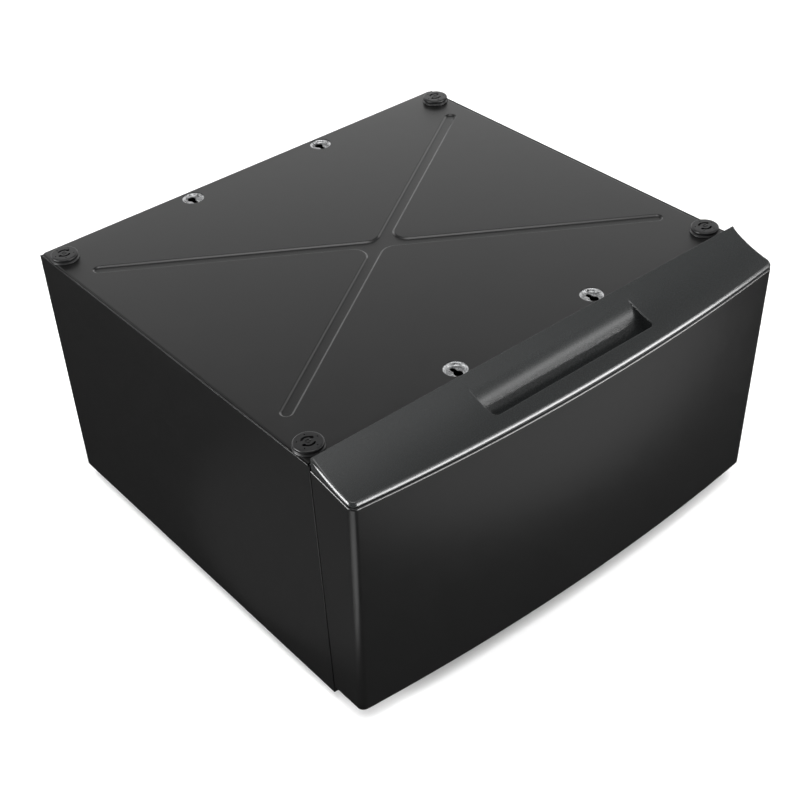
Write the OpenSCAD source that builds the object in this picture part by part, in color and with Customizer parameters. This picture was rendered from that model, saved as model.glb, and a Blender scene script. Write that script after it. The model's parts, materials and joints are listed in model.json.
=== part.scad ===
// Laundry pedestal with a storage drawer. It stands under a front load washer.
// Millimetres. Origin: on the floor, at the middle of the footprint.
// +X is the user's right, +Y points to the back, +Z is up.

/* [Cabinet] */
// Outside width
cabinet_w = 711; // [640:1:760]
// Depth of the steel cabinet behind the drawer front
cabinet_d = 620; // [600:1:660]
// Height of the steel cabinet without its legs
cabinet_h = 377; // [360:1:400]
// Gap between floor and cabinet with the legs screwed in
floor_gap = 16; // [16:0.5:20]
// Cabinet sheet steel
sheet = 1; // [0.8:0.1:1.2]
// Width of the pressed cross in the top panel
groove_w = 12; // [8:1:18]
// Depth of the pressed cross
groove_depth = 2.5; // [1:0.5:4]

/* [Drawer front] */
// How far the drawer front stands out at its middle
front_reach = 94; // [90:1:100]
// How much less it stands out at its bottom edge
front_lean = 18; // [8:1:24]
// Radius of the bowed face, seen from above
bow_r = 3400; // [2800:100:5000]
// Radius of the two upright corners
corner_r = 10; // [6:1:14]
// Steel of the drawer front
front_sheet = 1.2; // [1:0.1:1.5]
// Gap between drawer front and cabinet
front_gap = 2.5; // [2:0.1:3.5]
// Bottom of the drawer front above the bottom of the cabinet
front_lift = 11; // [8:1:16]

/* [Top trim and handle] */
// Height of the trim's rear edge above the cabinet
trim_rise = 13.5; // [10:0.5:18]
// Radius of the trim's hollow upper face
trim_curve_r = 185; // [180:1:200]
// Wall of the moulding
trim_wall = 2.5; // [2:0.1:3]
// Width of the finger scoop
scoop_w = 273; // [200:1:300]
// Distance of the scoop's upright front wall from the cabinet
scoop_front = 69; // [64:1:72]
// Steepest slope of the scoop, in degrees
scoop_slope = 50; // [45:1:54]

/* [Drawer box] */
// Depth of the drawer box
box_d = 546; // [500:1:560]
// Height of the drawer walls
box_h = 266; // [200:1:290]

/* [Washer mounting] */
// Distance between the two keyholes of a bracket
key_spacing = 232; // [200:1:260]
// Radius of the round window in the top panel
window_r = 15.5; // [15:0.5:19]
// Radius of the keyhole's wide end
key_r = 6; // [5:0.25:7]
// Half width of the keyhole's slot
key_slot_r = 3.3; // [2.5:0.1:4]
// Radius of the corner pads
pad_r = 20; // [16:0.5:21]

/* [Levelling legs] */
// Distance of a leg from the side of the cabinet
leg_inset = 50; // [45:1:60]
// Major radius of the leg's 3/8-16 thread
thread_r = 4.7625; // [4.7625]
// Radial play of the thread in its nuts
thread_play = 0.0575; // [0.03:0.0025:0.09]
// Radius of the foot
foot_r = 20; // [16:1:22]

/* [Hidden] */

$fn = 48;
// Overlap that joins two shapes into one solid
tiny = 0.01;
painted = [0.20, 0.20, 0.21];
moulded = [0.25, 0.26, 0.27];
galvanised = [0.72, 0.73, 0.74];
black = [0.08, 0.08, 0.08];

// Main planes of the cabinet
half_w = cabinet_w / 2;
front_y = front_reach / 2 - cabinet_d / 2;
back_y = front_y + cabinet_d;
base_z = floor_gap;
top_z = base_z + cabinet_h;
side_flange = 14;
rear_flange = 16;
bottom_flange = 20;
back_recess = 2;
// Room between folded sheets that lie side by side
sheet_gap = 0.5;
top_side_fold = 14;
top_end_fold = 13;
// The top panel lies between the hems on top of the side panels
seam = 2.2;
hem_h = 8;
hem_top_z = top_z - 0.4;
panel_back_y = back_y - back_recess;
flange_back_y = panel_back_y - sheet;
flange_front_y = flange_back_y - sheet;
hem_end_y = flange_front_y - 1;
rail_depth = 30;
rail_h = 26;
rail_z = base_z + sheet;
top_rail_drop = 32;
top_rail_lip = 9;

// Screws in the cabinet's rear flanges, and bumpers on its front flanges
back_screw_z = [for (i = [0:4]) base_z + 34 + i * (cabinet_h - 68) / 4];
back_screw_x = half_w - 9;
rail_screw_x = [-180, 0, 180];
rail_screw_z = rail_z + 12;
bumper_z = [base_z + 45, top_z - 60];
bumper_x = half_w - 7;
bumper_r = 5.5;
bumper_t = 2.5;
bumper_stem = 4;

// Corner pads, windows and keyholes
pad_x = half_w - 20.5;
pad_y = [front_y + 27, back_y - 35];
pad_h = 8;
pad_stem_r = 4.8;
pad_stem_play = 0.2;
pad_hook_r = 6;
pad_tip_r = 3.6;
pad_hook_h = 5;
pad_edge = 2.5;
pad_foot_edge = 0.6;
pad_dimple_r = 6;
pad_dimple = 0.8;
// Two curved slots, each with a round start, and a ring of small holes in a pad's face
pad_slot_r = 9;
pad_slot_half = 1.4;
pad_slot_depth = 4;
pad_slot_turn = 105;
pad_knob_r = 2.2;
pad_hole_ring_r = 14.2;
pad_hole_r = 0.9;
pad_hole_depth = 2;
window_y = [front_y + 24, back_y - 21];
dish_depth = 5;
dish_floor_r = 11;
dish_rim = 0.5;
dish_play = 0.3;
dish_wall = 0.8;
bracket_sheet = 1.5;
key_offset = 5;
key_length = 11;
bracket_half = 152;
bracket_d = 48;
bracket_front = -window_r - 0.8;
bracket_lip = 10;

// Cross in the top panel
groove_end_x = half_w - 40;
groove_end_y = [front_y + 96, back_y - 94];
groove_mid_y = (groove_end_y[0] + groove_end_y[1]) / 2;
groove_half_len = norm([groove_end_x, groove_end_y[1] - groove_mid_y]);
groove_angle = atan2(groove_end_y[1] - groove_mid_y, groove_end_x);

// Drawer front. edge_z() is the height of the panel's sloping top edge.
edge_slope = 0.19;
edge_drop = 5.4;
edge_angle = atan(edge_slope);
panel_rear_y = front_y - front_gap;
panel_bottom_z = base_z + front_lift;
face_y = front_y - front_reach;
face_z = top_z - edge_drop - edge_slope * front_reach;
lean_angle = atan(front_lean / (face_z - panel_bottom_z));
lip_w = 9;
inner_y = front_y - 3;
inner_flange = 12;
inner_top_z = top_z - 8;
inner_side_gap = 0.4;
inner_low_gap = 0.3;
inner_side_drop = 4;
front_plan_d = 150;

// Trim: its upper face follows an arc of radius trim_curve_r
trim_inset = 0.4;
trim_rear_y = front_y - 4;
trim_rear_slope = 31.3;
trim_centre = [trim_rear_y - trim_curve_r * sin(trim_rear_slope),
               top_z + trim_rise + trim_curve_r * cos(trim_rear_slope)];
trim_groove = 2.2;
neck_inset = 3;
skirt_gap = 0.4;
skirt_drop = 8;
tongue_drop = 20;
trim_front_y = face_y - 8;

// Screws through the panel's lip up into the trim
trim_screw_x = [-300, -170, 170, 300];
trim_screw_inset = 6;
trim_screw_r = 1.6;
trim_screw_play = 0.3;
trim_head_r = 2.8;
trim_head_h = 1.8;
trim_screw_length = 4;

// Scoop: a convex bend, a straight slope and a round bottom
scoop_start_y = front_y - 17;
scoop_bend_r = 45;
scoop_bottom_r = 9;
scoop_wall_y = front_y - scoop_front;
scoop_start_slope = asin((scoop_start_y - trim_centre[0]) / trim_curve_r);
scoop_bend = [scoop_start_y + scoop_bend_r * sin(scoop_start_slope),
              trim_centre[1] - trim_curve_r * cos(scoop_start_slope)
              - scoop_bend_r * cos(scoop_start_slope)];
scoop_bottom_y = scoop_wall_y + scoop_bottom_r;
scoop_run = (scoop_bend[0] - (scoop_bend_r + scoop_bottom_r) * sin(scoop_slope) - scoop_bottom_y)
            / cos(scoop_slope);
scoop_bottom = [scoop_bottom_y,
                scoop_bend[1] + (scoop_bend_r + scoop_bottom_r) * cos(scoop_slope)
                - scoop_run * sin(scoop_slope)];

// Slides: u is the distance from the support towards the drawer, v is up
support_depth = 15.5;
support_x = half_w - sheet - support_depth;
slide_thick = 12.7;
slide_z = base_z + 104;
outer_y = [front_y + 3, front_y + 503];
middle_y = [front_y + 6, front_y + 486];
cage_y = [front_y + 123, front_y + 353];
member_y = [front_y + 5, front_y + 493];
// Steel of a member, then each member's half height, depth and lip
gauge = 1.2;
outer_half = 22.5;
outer_depth = 8.6;
outer_lip = 3.3;
middle_u = 1.9;
middle_half = 16.1;
middle_depth = 8.3;
middle_lip = 3.5;
inner_half = 10.5;
inner_depth = 8.3;
outer_cage_u = [1.4, 7.1];
inner_cage_u = [3.5, 8.6];
cage_sheet = 0.3;
outer_ball_r = 2.38;
inner_ball_r = 1.98;
outer_ball = [4.3, 18.7];
inner_ball = [6.2, 12.7];
ball_count = 9;
ball_margin = 12;
ball_play = 0.07;
ball_pitch = (cage_y[1] - cage_y[0] - 2 * ball_margin) / (ball_count - 1);
slide_screw_y = [front_y + 40, front_y + 250, front_y + 455];
screw_r = 1.9;
screw_hole_r = 2.1;
slide_screw_length = 5;
screw_head_r = 4;
screw_head_h = 2;
back_screw_length = 9;
front_screw_length = 8;
// Countersunk screws of the outer members
flat_head_r = 3.6;
flat_head_h = 1.2;
flat_screw_length = 9;
// Depth of the holes cut for screws
drill = 12;

// Drawer box
wall_x = support_x - slide_thick;
box_z = base_z + 38;
box_y = [inner_y, inner_y + box_d];
box_top_z = box_z + box_h;
back_wall_h = 226;
box_flange = 14;
rim_w = 8;
front_screw_z = [for (i = [0:3]) box_z + 20 + i * (box_h - 40) / 3];
front_screw_x = wall_x - 7.5;

// Legs
leg_x = half_w - leg_inset;
leg_y = [front_y + 45, back_y - 45];
plate_size = 95;
plate_t = 2.5;
plate_flange = 24;
plate_top_z = rail_z + plate_t;
weld_nut_h = 8;
lock_nut_h = 5.6;
nut_r = 8.25;
hex_r = 8.1;
foot_h = 7;
foot_play = 0.05;
foot_edge = 1;
foot_rim_h = 3;
foot_neck_r = 11;
leg_hole_r = 5.6;
spigot_r = 4;
spigot_z = 3;
stud_hex_h = 4;
stud_top_z = base_z + 32;

function edge_z(y) = top_z - edge_drop + edge_slope * (y - front_y);

// Points of an arc. It leaves out the given number of points at its start and end.
function arc(centre, r, from, to, steps, skip = [0, 0]) =
    [for (i = [skip[0]:steps - skip[1]])
        let (angle = from + (to - from) * i / steps) centre + r * [cos(angle), sin(angle)]];

// ---- helpers ----

// A box from its lowest to its highest corner
module block(low, high) {
    translate(low) cube(high - low);
}

module left_side() {
    mirror([1, 0, 0]) children();
}

module both_sides() {
    children();
    left_side() children();
}

// A (y, z) outline drawn out along X, centred on x = 0
module along_x(width) {
    rotate([90, 0, 90]) linear_extrude(width, center = true) children();
}

// A screw along -Y with its head at the origin
module screw(length) {
    rotate([90, 0, 0]) {
        translate([0, 0, -screw_head_h]) cylinder(r = screw_head_r, h = screw_head_h);
        translate([0, 0, -tiny]) cylinder(r = screw_r, h = length + tiny);
    }
}

// ---- cabinet ----

// One bar of the cross, with round ends
module groove_bar(angle, width) {
    rotate(angle) {
        square([2 * groove_half_len, width], center = true);
        for (s = [-1, 1]) translate([s * groove_half_len, 0]) circle(width / 2);
    }
}

module groove_outline(width) {
    translate([0, groove_mid_y]) {
        groove_bar(groove_angle, width);
        groove_bar(-groove_angle, width);
    }
}

module top_panel() {
    edge_x = half_w - seam;
    flange_z = top_z - sheet - top_side_fold;
    inside_z = top_z - sheet / 2;
    color(painted) difference() {
        union() {
            block([-edge_x, front_y, top_z - sheet], [edge_x, back_y, top_z]);
            both_sides() block([edge_x - sheet, front_y + 3, flange_z],
                               [edge_x, hem_end_y, inside_z]);
            block([-half_w + side_flange + sheet_gap, front_y, top_z - top_end_fold],
                  [half_w - side_flange - sheet_gap, front_y + sheet, inside_z]);
            block([-edge_x, back_y - sheet, top_z - top_end_fold], [edge_x, back_y, inside_z]);
            translate([0, 0, top_z - sheet - groove_depth])
                linear_extrude(groove_depth + sheet / 2) groove_outline(groove_w + 2 * sheet);
        }
        translate([0, 0, top_z - groove_depth]) linear_extrude(2 * groove_depth) groove_outline(groove_w);
        for (y = window_y) both_sides() translate([key_spacing / 2, y, top_z - 3])
            cylinder(r = window_r, h = drill, $fn = 72);
        for (y = pad_y) both_sides() translate([pad_x, y, top_z - 3])
            cylinder(r = pad_stem_r + pad_stem_play, h = drill);
    }
}

module side_panel() {
    color(painted) difference() {
        union() {
            block([half_w - sheet, front_y, base_z], [half_w, back_y, hem_top_z]);
            block([half_w - 2 * sheet, front_y, hem_top_z - hem_h],
                  [half_w - tiny, hem_end_y, hem_top_z]);
            block([half_w - side_flange, front_y, base_z], [half_w - tiny, front_y + sheet, top_z - sheet]);
            block([half_w - rear_flange, flange_front_y, base_z],
                  [half_w - tiny, flange_back_y, top_z - sheet]);
            block([half_w - bottom_flange, front_y, base_z],
                  [half_w - tiny, flange_back_y, base_z + sheet]);
        }
        for (z = back_screw_z) translate([back_screw_x, back_y, z])
            rotate([90, 0, 0]) cylinder(r = screw_hole_r, h = drill);
        for (z = bumper_z) translate([bumper_x, front_y + 3, z])
            rotate([90, 0, 0]) cylinder(r = screw_hole_r, h = drill);
    }
}

module left_side_panel() {
    left_side() side_panel();
}

module right_side_panel() {
    side_panel();
}

module back_panel() {
    edge_x = half_w - sheet - sheet_gap;
    color(painted) difference() {
        block([-edge_x, flange_back_y, base_z + 1.5], [edge_x, panel_back_y, top_z - sheet - sheet_gap]);
        for (z = back_screw_z) both_sides() translate([back_screw_x, back_y, z])
            rotate([90, 0, 0]) cylinder(r = screw_hole_r, h = drill);
        for (x = rail_screw_x) translate([x, back_y, rail_screw_z])
            rotate([90, 0, 0]) cylinder(r = screw_hole_r, h = drill);
    }
}

module back_panel_screws() {
    color(galvanised) {
        for (z = back_screw_z) both_sides() translate([back_screw_x, panel_back_y, z])
            screw(back_screw_length);
        for (x = rail_screw_x) translate([x, panel_back_y, rail_screw_z]) screw(back_screw_length);
    }
}

module front_top_rail() {
    web_x = half_w - sheet - 1.5;
    web_y = front_y + sheet;
    low_z = top_z - sheet - top_rail_drop;
    color(painted) {
        block([-web_x, web_y, low_z], [web_x, web_y + sheet, top_z - sheet]);
        block([-web_x, web_y, low_z], [web_x, web_y + rail_depth, low_z + sheet]);
        block([-web_x, web_y + rail_depth - sheet, low_z], [web_x, web_y + rail_depth, low_z + top_rail_lip]);
    }
}

module front_bottom_rail() {
    web_x = half_w - sheet - plate_t - sheet_gap;
    web_y = front_y + sheet;
    color(painted) {
        block([-web_x, web_y, rail_z], [web_x, web_y + sheet, rail_z + rail_h]);
        block([-web_x, web_y, rail_z + rail_h - sheet], [web_x, web_y + rail_depth, rail_z + rail_h]);
    }
}

module rear_bottom_rail() {
    web_x = half_w - rear_flange - sheet_gap;
    color(painted) difference() {
        union() {
            block([-web_x, flange_front_y, rail_z], [web_x, flange_back_y, rail_z + rail_h]);
            block([-web_x, flange_back_y - rail_depth, rail_z + rail_h - sheet],
                  [web_x, flange_back_y, rail_z + rail_h]);
        }
        for (x = rail_screw_x) translate([x, back_y, rail_screw_z])
            rotate([90, 0, 0]) cylinder(r = screw_hole_r, h = drill);
    }
}

// ---- washer mounting ----

// A dished keyhole, with the keyhole's wide end towards -Y
module key_dish() {
    under = -sheet - bracket_sheet;
    floor_z = under - dish_depth + bracket_sheet;
    rotate_extrude($fn = 72) polygon([
        [0, floor_z], [dish_floor_r, floor_z], [window_r - dish_rim, -sheet],
        [window_r + dish_rim, -sheet], [window_r + dish_rim, under], [window_r, under],
        [dish_floor_r + dish_wall, floor_z - bracket_sheet], [0, floor_z - bracket_sheet]]);
}

module keyhole() {
    translate([0, -key_offset, -20]) cylinder(r = key_r, h = 20);
    translate([0, key_length - key_offset, -20]) cylinder(r = key_slot_r, h = 20);
    translate([-key_slot_r, -key_offset, -20]) cube([2 * key_slot_r, key_length, 20]);
}

// A bracket centred on its two windows, with its folded lip towards +Y
module mount_bracket() {
    plate_top = -sheet;
    plate_low = -sheet - bracket_sheet;
    color(galvanised) difference() {
        union() {
            difference() {
                block([-bracket_half, bracket_front, plate_low],
                      [bracket_half, bracket_front + bracket_d, plate_top]);
                both_sides() translate([key_spacing / 2, 0, plate_low - 1])
                    cylinder(r = window_r + dish_rim - dish_play, h = drill, $fn = 72);
            }
            block([-bracket_half, bracket_front + bracket_d - bracket_sheet, plate_low - bracket_lip],
                  [bracket_half, bracket_front + bracket_d, plate_top]);
            both_sides() translate([key_spacing / 2, 0, 0]) key_dish();
        }
        both_sides() translate([key_spacing / 2, 0, 0]) keyhole();
    }
}

module front_mount_bracket() {
    translate([0, window_y[0], top_z]) mount_bracket();
}

module rear_mount_bracket() {
    translate([0, window_y[1], top_z]) rotate(180) mount_bracket();
}

// Round pad with a snap stem. Two curved slots and small holes in its face.
module corner_pad() {
    color(black) {
        difference() {
            rotate_extrude($fn = 72) polygon(concat(
                [[0, 0], [pad_r - pad_foot_edge, 0], [pad_r, pad_foot_edge]],
                arc([pad_r - pad_edge, pad_h - pad_edge], pad_edge, 0, 90, 6),
                [[pad_dimple_r, pad_h], [pad_dimple_r - pad_foot_edge, pad_h - pad_dimple],
                 [0, pad_h - pad_dimple]]));
            for (turn = [20, 200]) rotate(turn) translate([0, 0, pad_h - pad_slot_depth]) {
                rotate_extrude(angle = pad_slot_turn, $fn = 72) translate([pad_slot_r - pad_slot_half, 0])
                    square([2 * pad_slot_half, pad_h]);
                translate([pad_slot_r, 0, 0]) cylinder(r = pad_knob_r, h = pad_h);
            }
            for (i = [0:4]) rotate(i * 72) translate([pad_hole_ring_r, 0, pad_h - pad_hole_depth])
                cylinder(r = pad_hole_r, h = pad_h);
        }
        translate([0, 0, -sheet - pad_stem_play]) cylinder(r = pad_stem_r, h = sheet + 1);
        translate([0, 0, -sheet - pad_stem_play - pad_hook_h])
            cylinder(r1 = pad_tip_r, r2 = pad_hook_r, h = pad_hook_h);
    }
}

module place_pad(row) {
    translate([pad_x, pad_y[row], top_z]) children();
}

module corner_pad_front_left() {
    left_side() place_pad(0) corner_pad();
}

module corner_pad_front_right() {
    place_pad(0) corner_pad();
}

module corner_pad_rear_left() {
    left_side() place_pad(1) corner_pad();
}

module corner_pad_rear_right() {
    place_pad(1) corner_pad();
}

// ---- legs ----

// Row 0 is the front pair, row 1 the rear pair
module place_leg(row) {
    translate([leg_x, leg_y[row], 0]) children();
}

// Corner plate under the cabinet. Its flange stands against the side panel.
module leg_plate(row) {
    side_x = half_w - sheet;
    y0 = row == 0 ? front_y + 2 * sheet : flange_front_y - plate_size;
    color(painted) difference() {
        union() {
            block([side_x - plate_size, y0, rail_z], [side_x, y0 + plate_size, plate_top_z]);
            block([side_x - plate_t, y0, rail_z], [side_x, y0 + plate_size, plate_top_z + plate_flange]);
        }
        place_leg(row) cylinder(r = leg_hole_r, h = plate_size);
    }
}

module leg_plate_front_left() {
    left_side() leg_plate(0);
}

module leg_plate_front_right() {
    leg_plate(0);
}

module leg_plate_rear_left() {
    left_side() leg_plate(1);
}

module leg_plate_rear_right() {
    leg_plate(1);
}

module hex_nut(height) {
    difference() {
        cylinder(r = nut_r, h = height, $fn = 6);
        translate([0, 0, -1]) cylinder(r = thread_r + thread_play, h = height + 2);
    }
}

module at_legs() {
    for (row = [0, 1]) both_sides() place_leg(row) children();
}

module leg_weld_nuts() {
    color(galvanised) at_legs() translate([0, 0, plate_top_z]) hex_nut(weld_nut_h);
}

module leg_lock_nuts() {
    color(galvanised) at_legs() translate([0, 0, rail_z - lock_nut_h]) hex_nut(lock_nut_h);
}

module leg_foot(row) {
    color(black) place_leg(row) rotate_extrude($fn = 72) polygon([
        [0, 0], [foot_r - foot_edge, 0], [foot_r, foot_edge], [foot_r, foot_rim_h], [foot_neck_r, foot_h],
        [spigot_r + foot_play, foot_h], [spigot_r + foot_play, spigot_z], [0, spigot_z]]);
}

module leg_stud(row) {
    hex_z = foot_h + foot_play;
    color(galvanised) place_leg(row) {
        translate([0, 0, spigot_z + foot_play]) cylinder(r = spigot_r, h = hex_z - spigot_z);
        translate([0, 0, hex_z]) cylinder(r = hex_r, h = stud_hex_h, $fn = 6);
        translate([0, 0, hex_z]) cylinder(r = thread_r, h = stud_top_z - hex_z);
    }
}

module leg_foot_front_left() {
    left_side() leg_foot(0);
}

module leg_foot_front_right() {
    leg_foot(0);
}

module leg_foot_rear_left() {
    left_side() leg_foot(1);
}

module leg_foot_rear_right() {
    leg_foot(1);
}

module leg_stud_front_left() {
    left_side() leg_stud(0);
}

module leg_stud_front_right() {
    leg_stud(0);
}

module leg_stud_rear_left() {
    left_side() leg_stud(1);
}

module leg_stud_rear_right() {
    leg_stud(1);
}

// ---- slides ----

// Rubber bumpers on the cabinet's front flanges
module drawer_bumpers() {
    color(black) for (z = bumper_z) both_sides() translate([bumper_x, front_y, z]) rotate([90, 0, 0]) {
        cylinder(r = bumper_r, h = bumper_t);
        translate([0, 0, -bumper_stem]) cylinder(r = screw_r, h = bumper_stem + bumper_t / 2);
    }
}

// A (u, v) outline drawn out along Y at the right slide
module slide_section(y) {
    translate([support_x, y[1], slide_z]) rotate([90, 0, 0]) mirror([1, 0, 0])
        linear_extrude(y[1] - y[0]) children();
}

// A (u, v) rectangle and its mirror image below
module pair(low, high) {
    translate(low) square(high - low);
    translate([low[0], -high[1]]) square(high - low);
}

// Hat-shaped support, welded to the side panel, that carries the slide
module slide_support() {
    reach = support_depth;
    half_h = 30;
    foot = 14;
    color(painted) difference() {
        slide_section([front_y + 3, hem_end_y]) {
            translate([-sheet, -half_h]) square([sheet, 2 * half_h]);
            pair([-reach, half_h - sheet], [0, half_h]);
            pair([-reach, half_h - sheet], [-reach + sheet, half_h + foot]);
        }
        slide_screw_holes(-5);
    }
}

module slide_screw_holes(u) {
    for (y = slide_screw_y) translate([support_x - u, y, slide_z])
        rotate([0, -90, 0]) cylinder(r = screw_hole_r, h = 20);
}

module left_slide_support() {
    left_side() slide_support();
}

module right_slide_support() {
    slide_support();
}

// Countersunk head flush with the inside of the outer member
module flat_screw() {
    rotate([0, 90, 0]) {
        cylinder(r1 = flat_head_r, r2 = screw_r, h = flat_head_h);
        cylinder(r = screw_r, h = flat_screw_length);
    }
}

module outer_slide_screws() {
    color(galvanised) both_sides() for (y = slide_screw_y)
        translate([support_x - gauge, y, slide_z]) flat_screw();
}

module slide_outer() {
    color(galvanised) difference() {
        slide_section(outer_y) {
            translate([0, -outer_half]) square([gauge, 2 * outer_half]);
            pair([0, outer_half - gauge], [outer_depth, outer_half]);
            pair([outer_depth - gauge, outer_half - outer_lip], [outer_depth, outer_half]);
        }
        for (y = slide_screw_y) translate([support_x - gauge, y, slide_z]) rotate([0, 90, 0]) {
            translate([0, 0, -tiny]) cylinder(r1 = flat_head_r + 0.4, r2 = screw_hole_r, h = flat_head_h);
            cylinder(r = screw_hole_r, h = drill);
        }
    }
}

module slide_middle() {
    reach = middle_u + middle_depth;
    color(galvanised) slide_section(middle_y) {
        translate([middle_u, -middle_half]) square([gauge, 2 * middle_half]);
        pair([middle_u, middle_half - gauge], [reach, middle_half]);
        pair([reach - gauge, middle_half - middle_lip], [reach, middle_half]);
    }
}

module slide_inner() {
    color(galvanised) difference() {
        slide_section(member_y) {
            translate([slide_thick - gauge, -inner_half]) square([gauge, 2 * inner_half]);
            pair([slide_thick - inner_depth, inner_half - gauge], [slide_thick, inner_half]);
        }
        slide_screw_holes(8);
    }
}

// Places of the balls of one cage, ball = [u, v] of the upper row
module at_balls(ball) {
    for (i = [0:ball_count - 1]) for (s = [-1, 1])
        translate([support_x - ball[0], cage_y[0] + ball_margin + i * ball_pitch, slide_z + s * ball[1]])
            children();
}

// A cage between the depths u: a web and two plates with holes for the balls
module ball_cage(ball, ball_r, u) {
    color(galvanised) difference() {
        slide_section(cage_y) {
            translate([u[0], -ball[1] - cage_sheet]) square([cage_sheet, 2 * (ball[1] + cage_sheet)]);
            pair([u[0], ball[1] - cage_sheet], [u[1], ball[1] + cage_sheet]);
        }
        at_balls(ball) cylinder(r = ball_r + ball_play, h = 4, center = true, $fn = 24);
    }
}

module outer_cage() {
    ball_cage(outer_ball, outer_ball_r, outer_cage_u);
}

module inner_cage() {
    ball_cage(inner_ball, inner_ball_r, inner_cage_u);
}

module outer_balls() {
    color("silver") at_balls(outer_ball) sphere(outer_ball_r, $fn = 24);
}

module inner_balls() {
    color("silver") at_balls(inner_ball) sphere(inner_ball_r, $fn = 24);
}

module inner_slide_screws() {
    color(galvanised) both_sides() for (y = slide_screw_y)
        translate([wall_x - sheet, y, slide_z]) rotate(90) screw(slide_screw_length);
}

module left_slide_outer() {
    left_side() slide_outer();
}

module right_slide_outer() {
    slide_outer();
}

module left_slide_middle() {
    left_side() slide_middle();
}

module right_slide_middle() {
    slide_middle();
}

module left_slide_inner() {
    left_side() slide_inner();
}

module right_slide_inner() {
    slide_inner();
}

module left_outer_cage() {
    left_side() outer_cage();
}

module right_outer_cage() {
    outer_cage();
}

module left_inner_cage() {
    left_side() inner_cage();
}

module right_inner_cage() {
    inner_cage();
}

module left_outer_balls() {
    left_side() outer_balls();
}

module right_outer_balls() {
    outer_balls();
}

module left_inner_balls() {
    left_side() inner_balls();
}

module right_inner_balls() {
    inner_balls();
}

// ---- drawer box ----

module front_screw_holes() {
    for (z = front_screw_z) both_sides() translate([front_screw_x, inner_y + 4, z])
        rotate([90, 0, 0]) cylinder(r = screw_hole_r, h = drill);
}

module drawer_wall() {
    color(painted) difference() {
        union() {
            block([wall_x - sheet, box_y[0], box_z], [wall_x, box_y[1], box_top_z]);
            block([wall_x - sheet, box_y[0], box_top_z - sheet], [wall_x + rim_w, box_y[1], box_top_z]);
            block([wall_x - box_flange, box_y[0], box_z + 2 * sheet],
                  [wall_x - tiny, box_y[0] + sheet, box_top_z]);
        }
        front_screw_holes();
        slide_screw_holes(8);
    }
}

module drawer_left_wall() {
    left_side() drawer_wall();
}

module drawer_right_wall() {
    drawer_wall();
}

module drawer_floor() {
    floor_x = wall_x - sheet;
    color(painted) {
        block([-floor_x, box_y[0], box_z], [floor_x, box_y[1], box_z + sheet]);
        block([-floor_x + box_flange, box_y[0], box_z],
              [floor_x - box_flange, box_y[0] + sheet, box_z + box_flange]);
    }
}

module drawer_back_wall() {
    back_x = wall_x - sheet;
    back_wall_z = box_z + sheet;
    color(painted) {
        block([-back_x, box_y[1] - sheet, back_wall_z], [back_x, box_y[1], back_wall_z + back_wall_h]);
        block([-back_x, box_y[1] - rim_w, back_wall_z + back_wall_h - sheet],
              [back_x, box_y[1], back_wall_z + back_wall_h]);
    }
}

module drawer_front_screws() {
    color(galvanised) for (z = front_screw_z) both_sides()
        translate([front_screw_x, inner_y + sheet, z]) screw(front_screw_length);
}

// Steel sheet that closes the drawer front from behind
module drawer_inner_panel() {
    edge_x = half_w - front_sheet - inner_side_gap;
    low_z = panel_bottom_z + front_sheet + inner_low_gap;
    color(painted) difference() {
        union() {
            block([-edge_x, inner_y - sheet, low_z], [edge_x, inner_y, inner_top_z]);
            both_sides() block([edge_x - sheet, inner_y - inner_flange, low_z],
                               [edge_x, inner_y, inner_top_z - inner_side_drop]);
            block([-edge_x, inner_y - inner_flange, low_z], [edge_x, inner_y, low_z + sheet]);
        }
        front_screw_holes();
    }
}

// ---- drawer front ----

// Plan of the drawer front: a bowed face through (0, 0) and two round corners
function front_points(inset) =
    let (r = bow_r - inset,
         x = half_w - inset,
         rounded = corner_r > inset,
         centre_x = half_w - corner_r,
         turn = rounded ? asin(centre_x / (bow_r - corner_r)) : asin(x / r),
         centre_y = bow_r - (bow_r - corner_r) * cos(turn))
    concat([[-x, front_plan_d]],
           rounded ? arc([-centre_x, centre_y], corner_r - inset, 180, 270 - turn, 8, [0, 1]) : [],
           arc([0, bow_r], r, 270 - turn, 270 + turn, 24),
           rounded ? arc([centre_x, centre_y], corner_r - inset, 270 + turn, 360, 8, [1, 0]) : [],
           [[x, front_plan_d]]);

module front_outline(inset) {
    polygon(front_points(inset));
}

module leaning_front(inset) {
    translate([0, face_y, face_z]) rotate([lean_angle, 0, 0]) translate([0, 0, -cabinet_h])
        linear_extrude(cabinet_h + 60) front_outline(inset);
}

module upright_front(inset) {
    translate([0, face_y, face_z - 40]) linear_extrude(120) front_outline(inset);
}

// Everything under the panel's sloping top edge, moved up by lift
module below_edge(lift) {
    translate([0, front_y, top_z - edge_drop + lift]) rotate([edge_angle, 0, 0])
        block([-cabinet_w, -200, -2 * cabinet_h], [cabinet_w, 100, 0]);
}

module drawer_front_panel() {
    color(painted) difference() {
        intersection() {
            leaning_front(0);
            below_edge(0);
            block([-cabinet_w, face_y - 20, panel_bottom_z], [cabinet_w, panel_rear_y, top_z]);
        }
        intersection() {
            leaning_front(front_sheet);
            below_edge(-front_sheet);
            block([-cabinet_w, face_y - 20, panel_bottom_z + front_sheet], [cabinet_w, front_y + 20, top_z]);
        }
        intersection() {
            leaning_front(lip_w);
            block([-cabinet_w, face_y - 20, top_z - 60], [cabinet_w, front_y + 20, top_z + 20]);
        }
        at_trim_screws() translate([0, 0, -drill / 2])
            cylinder(r = trim_screw_r + trim_screw_play, h = drill);
    }
}

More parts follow.
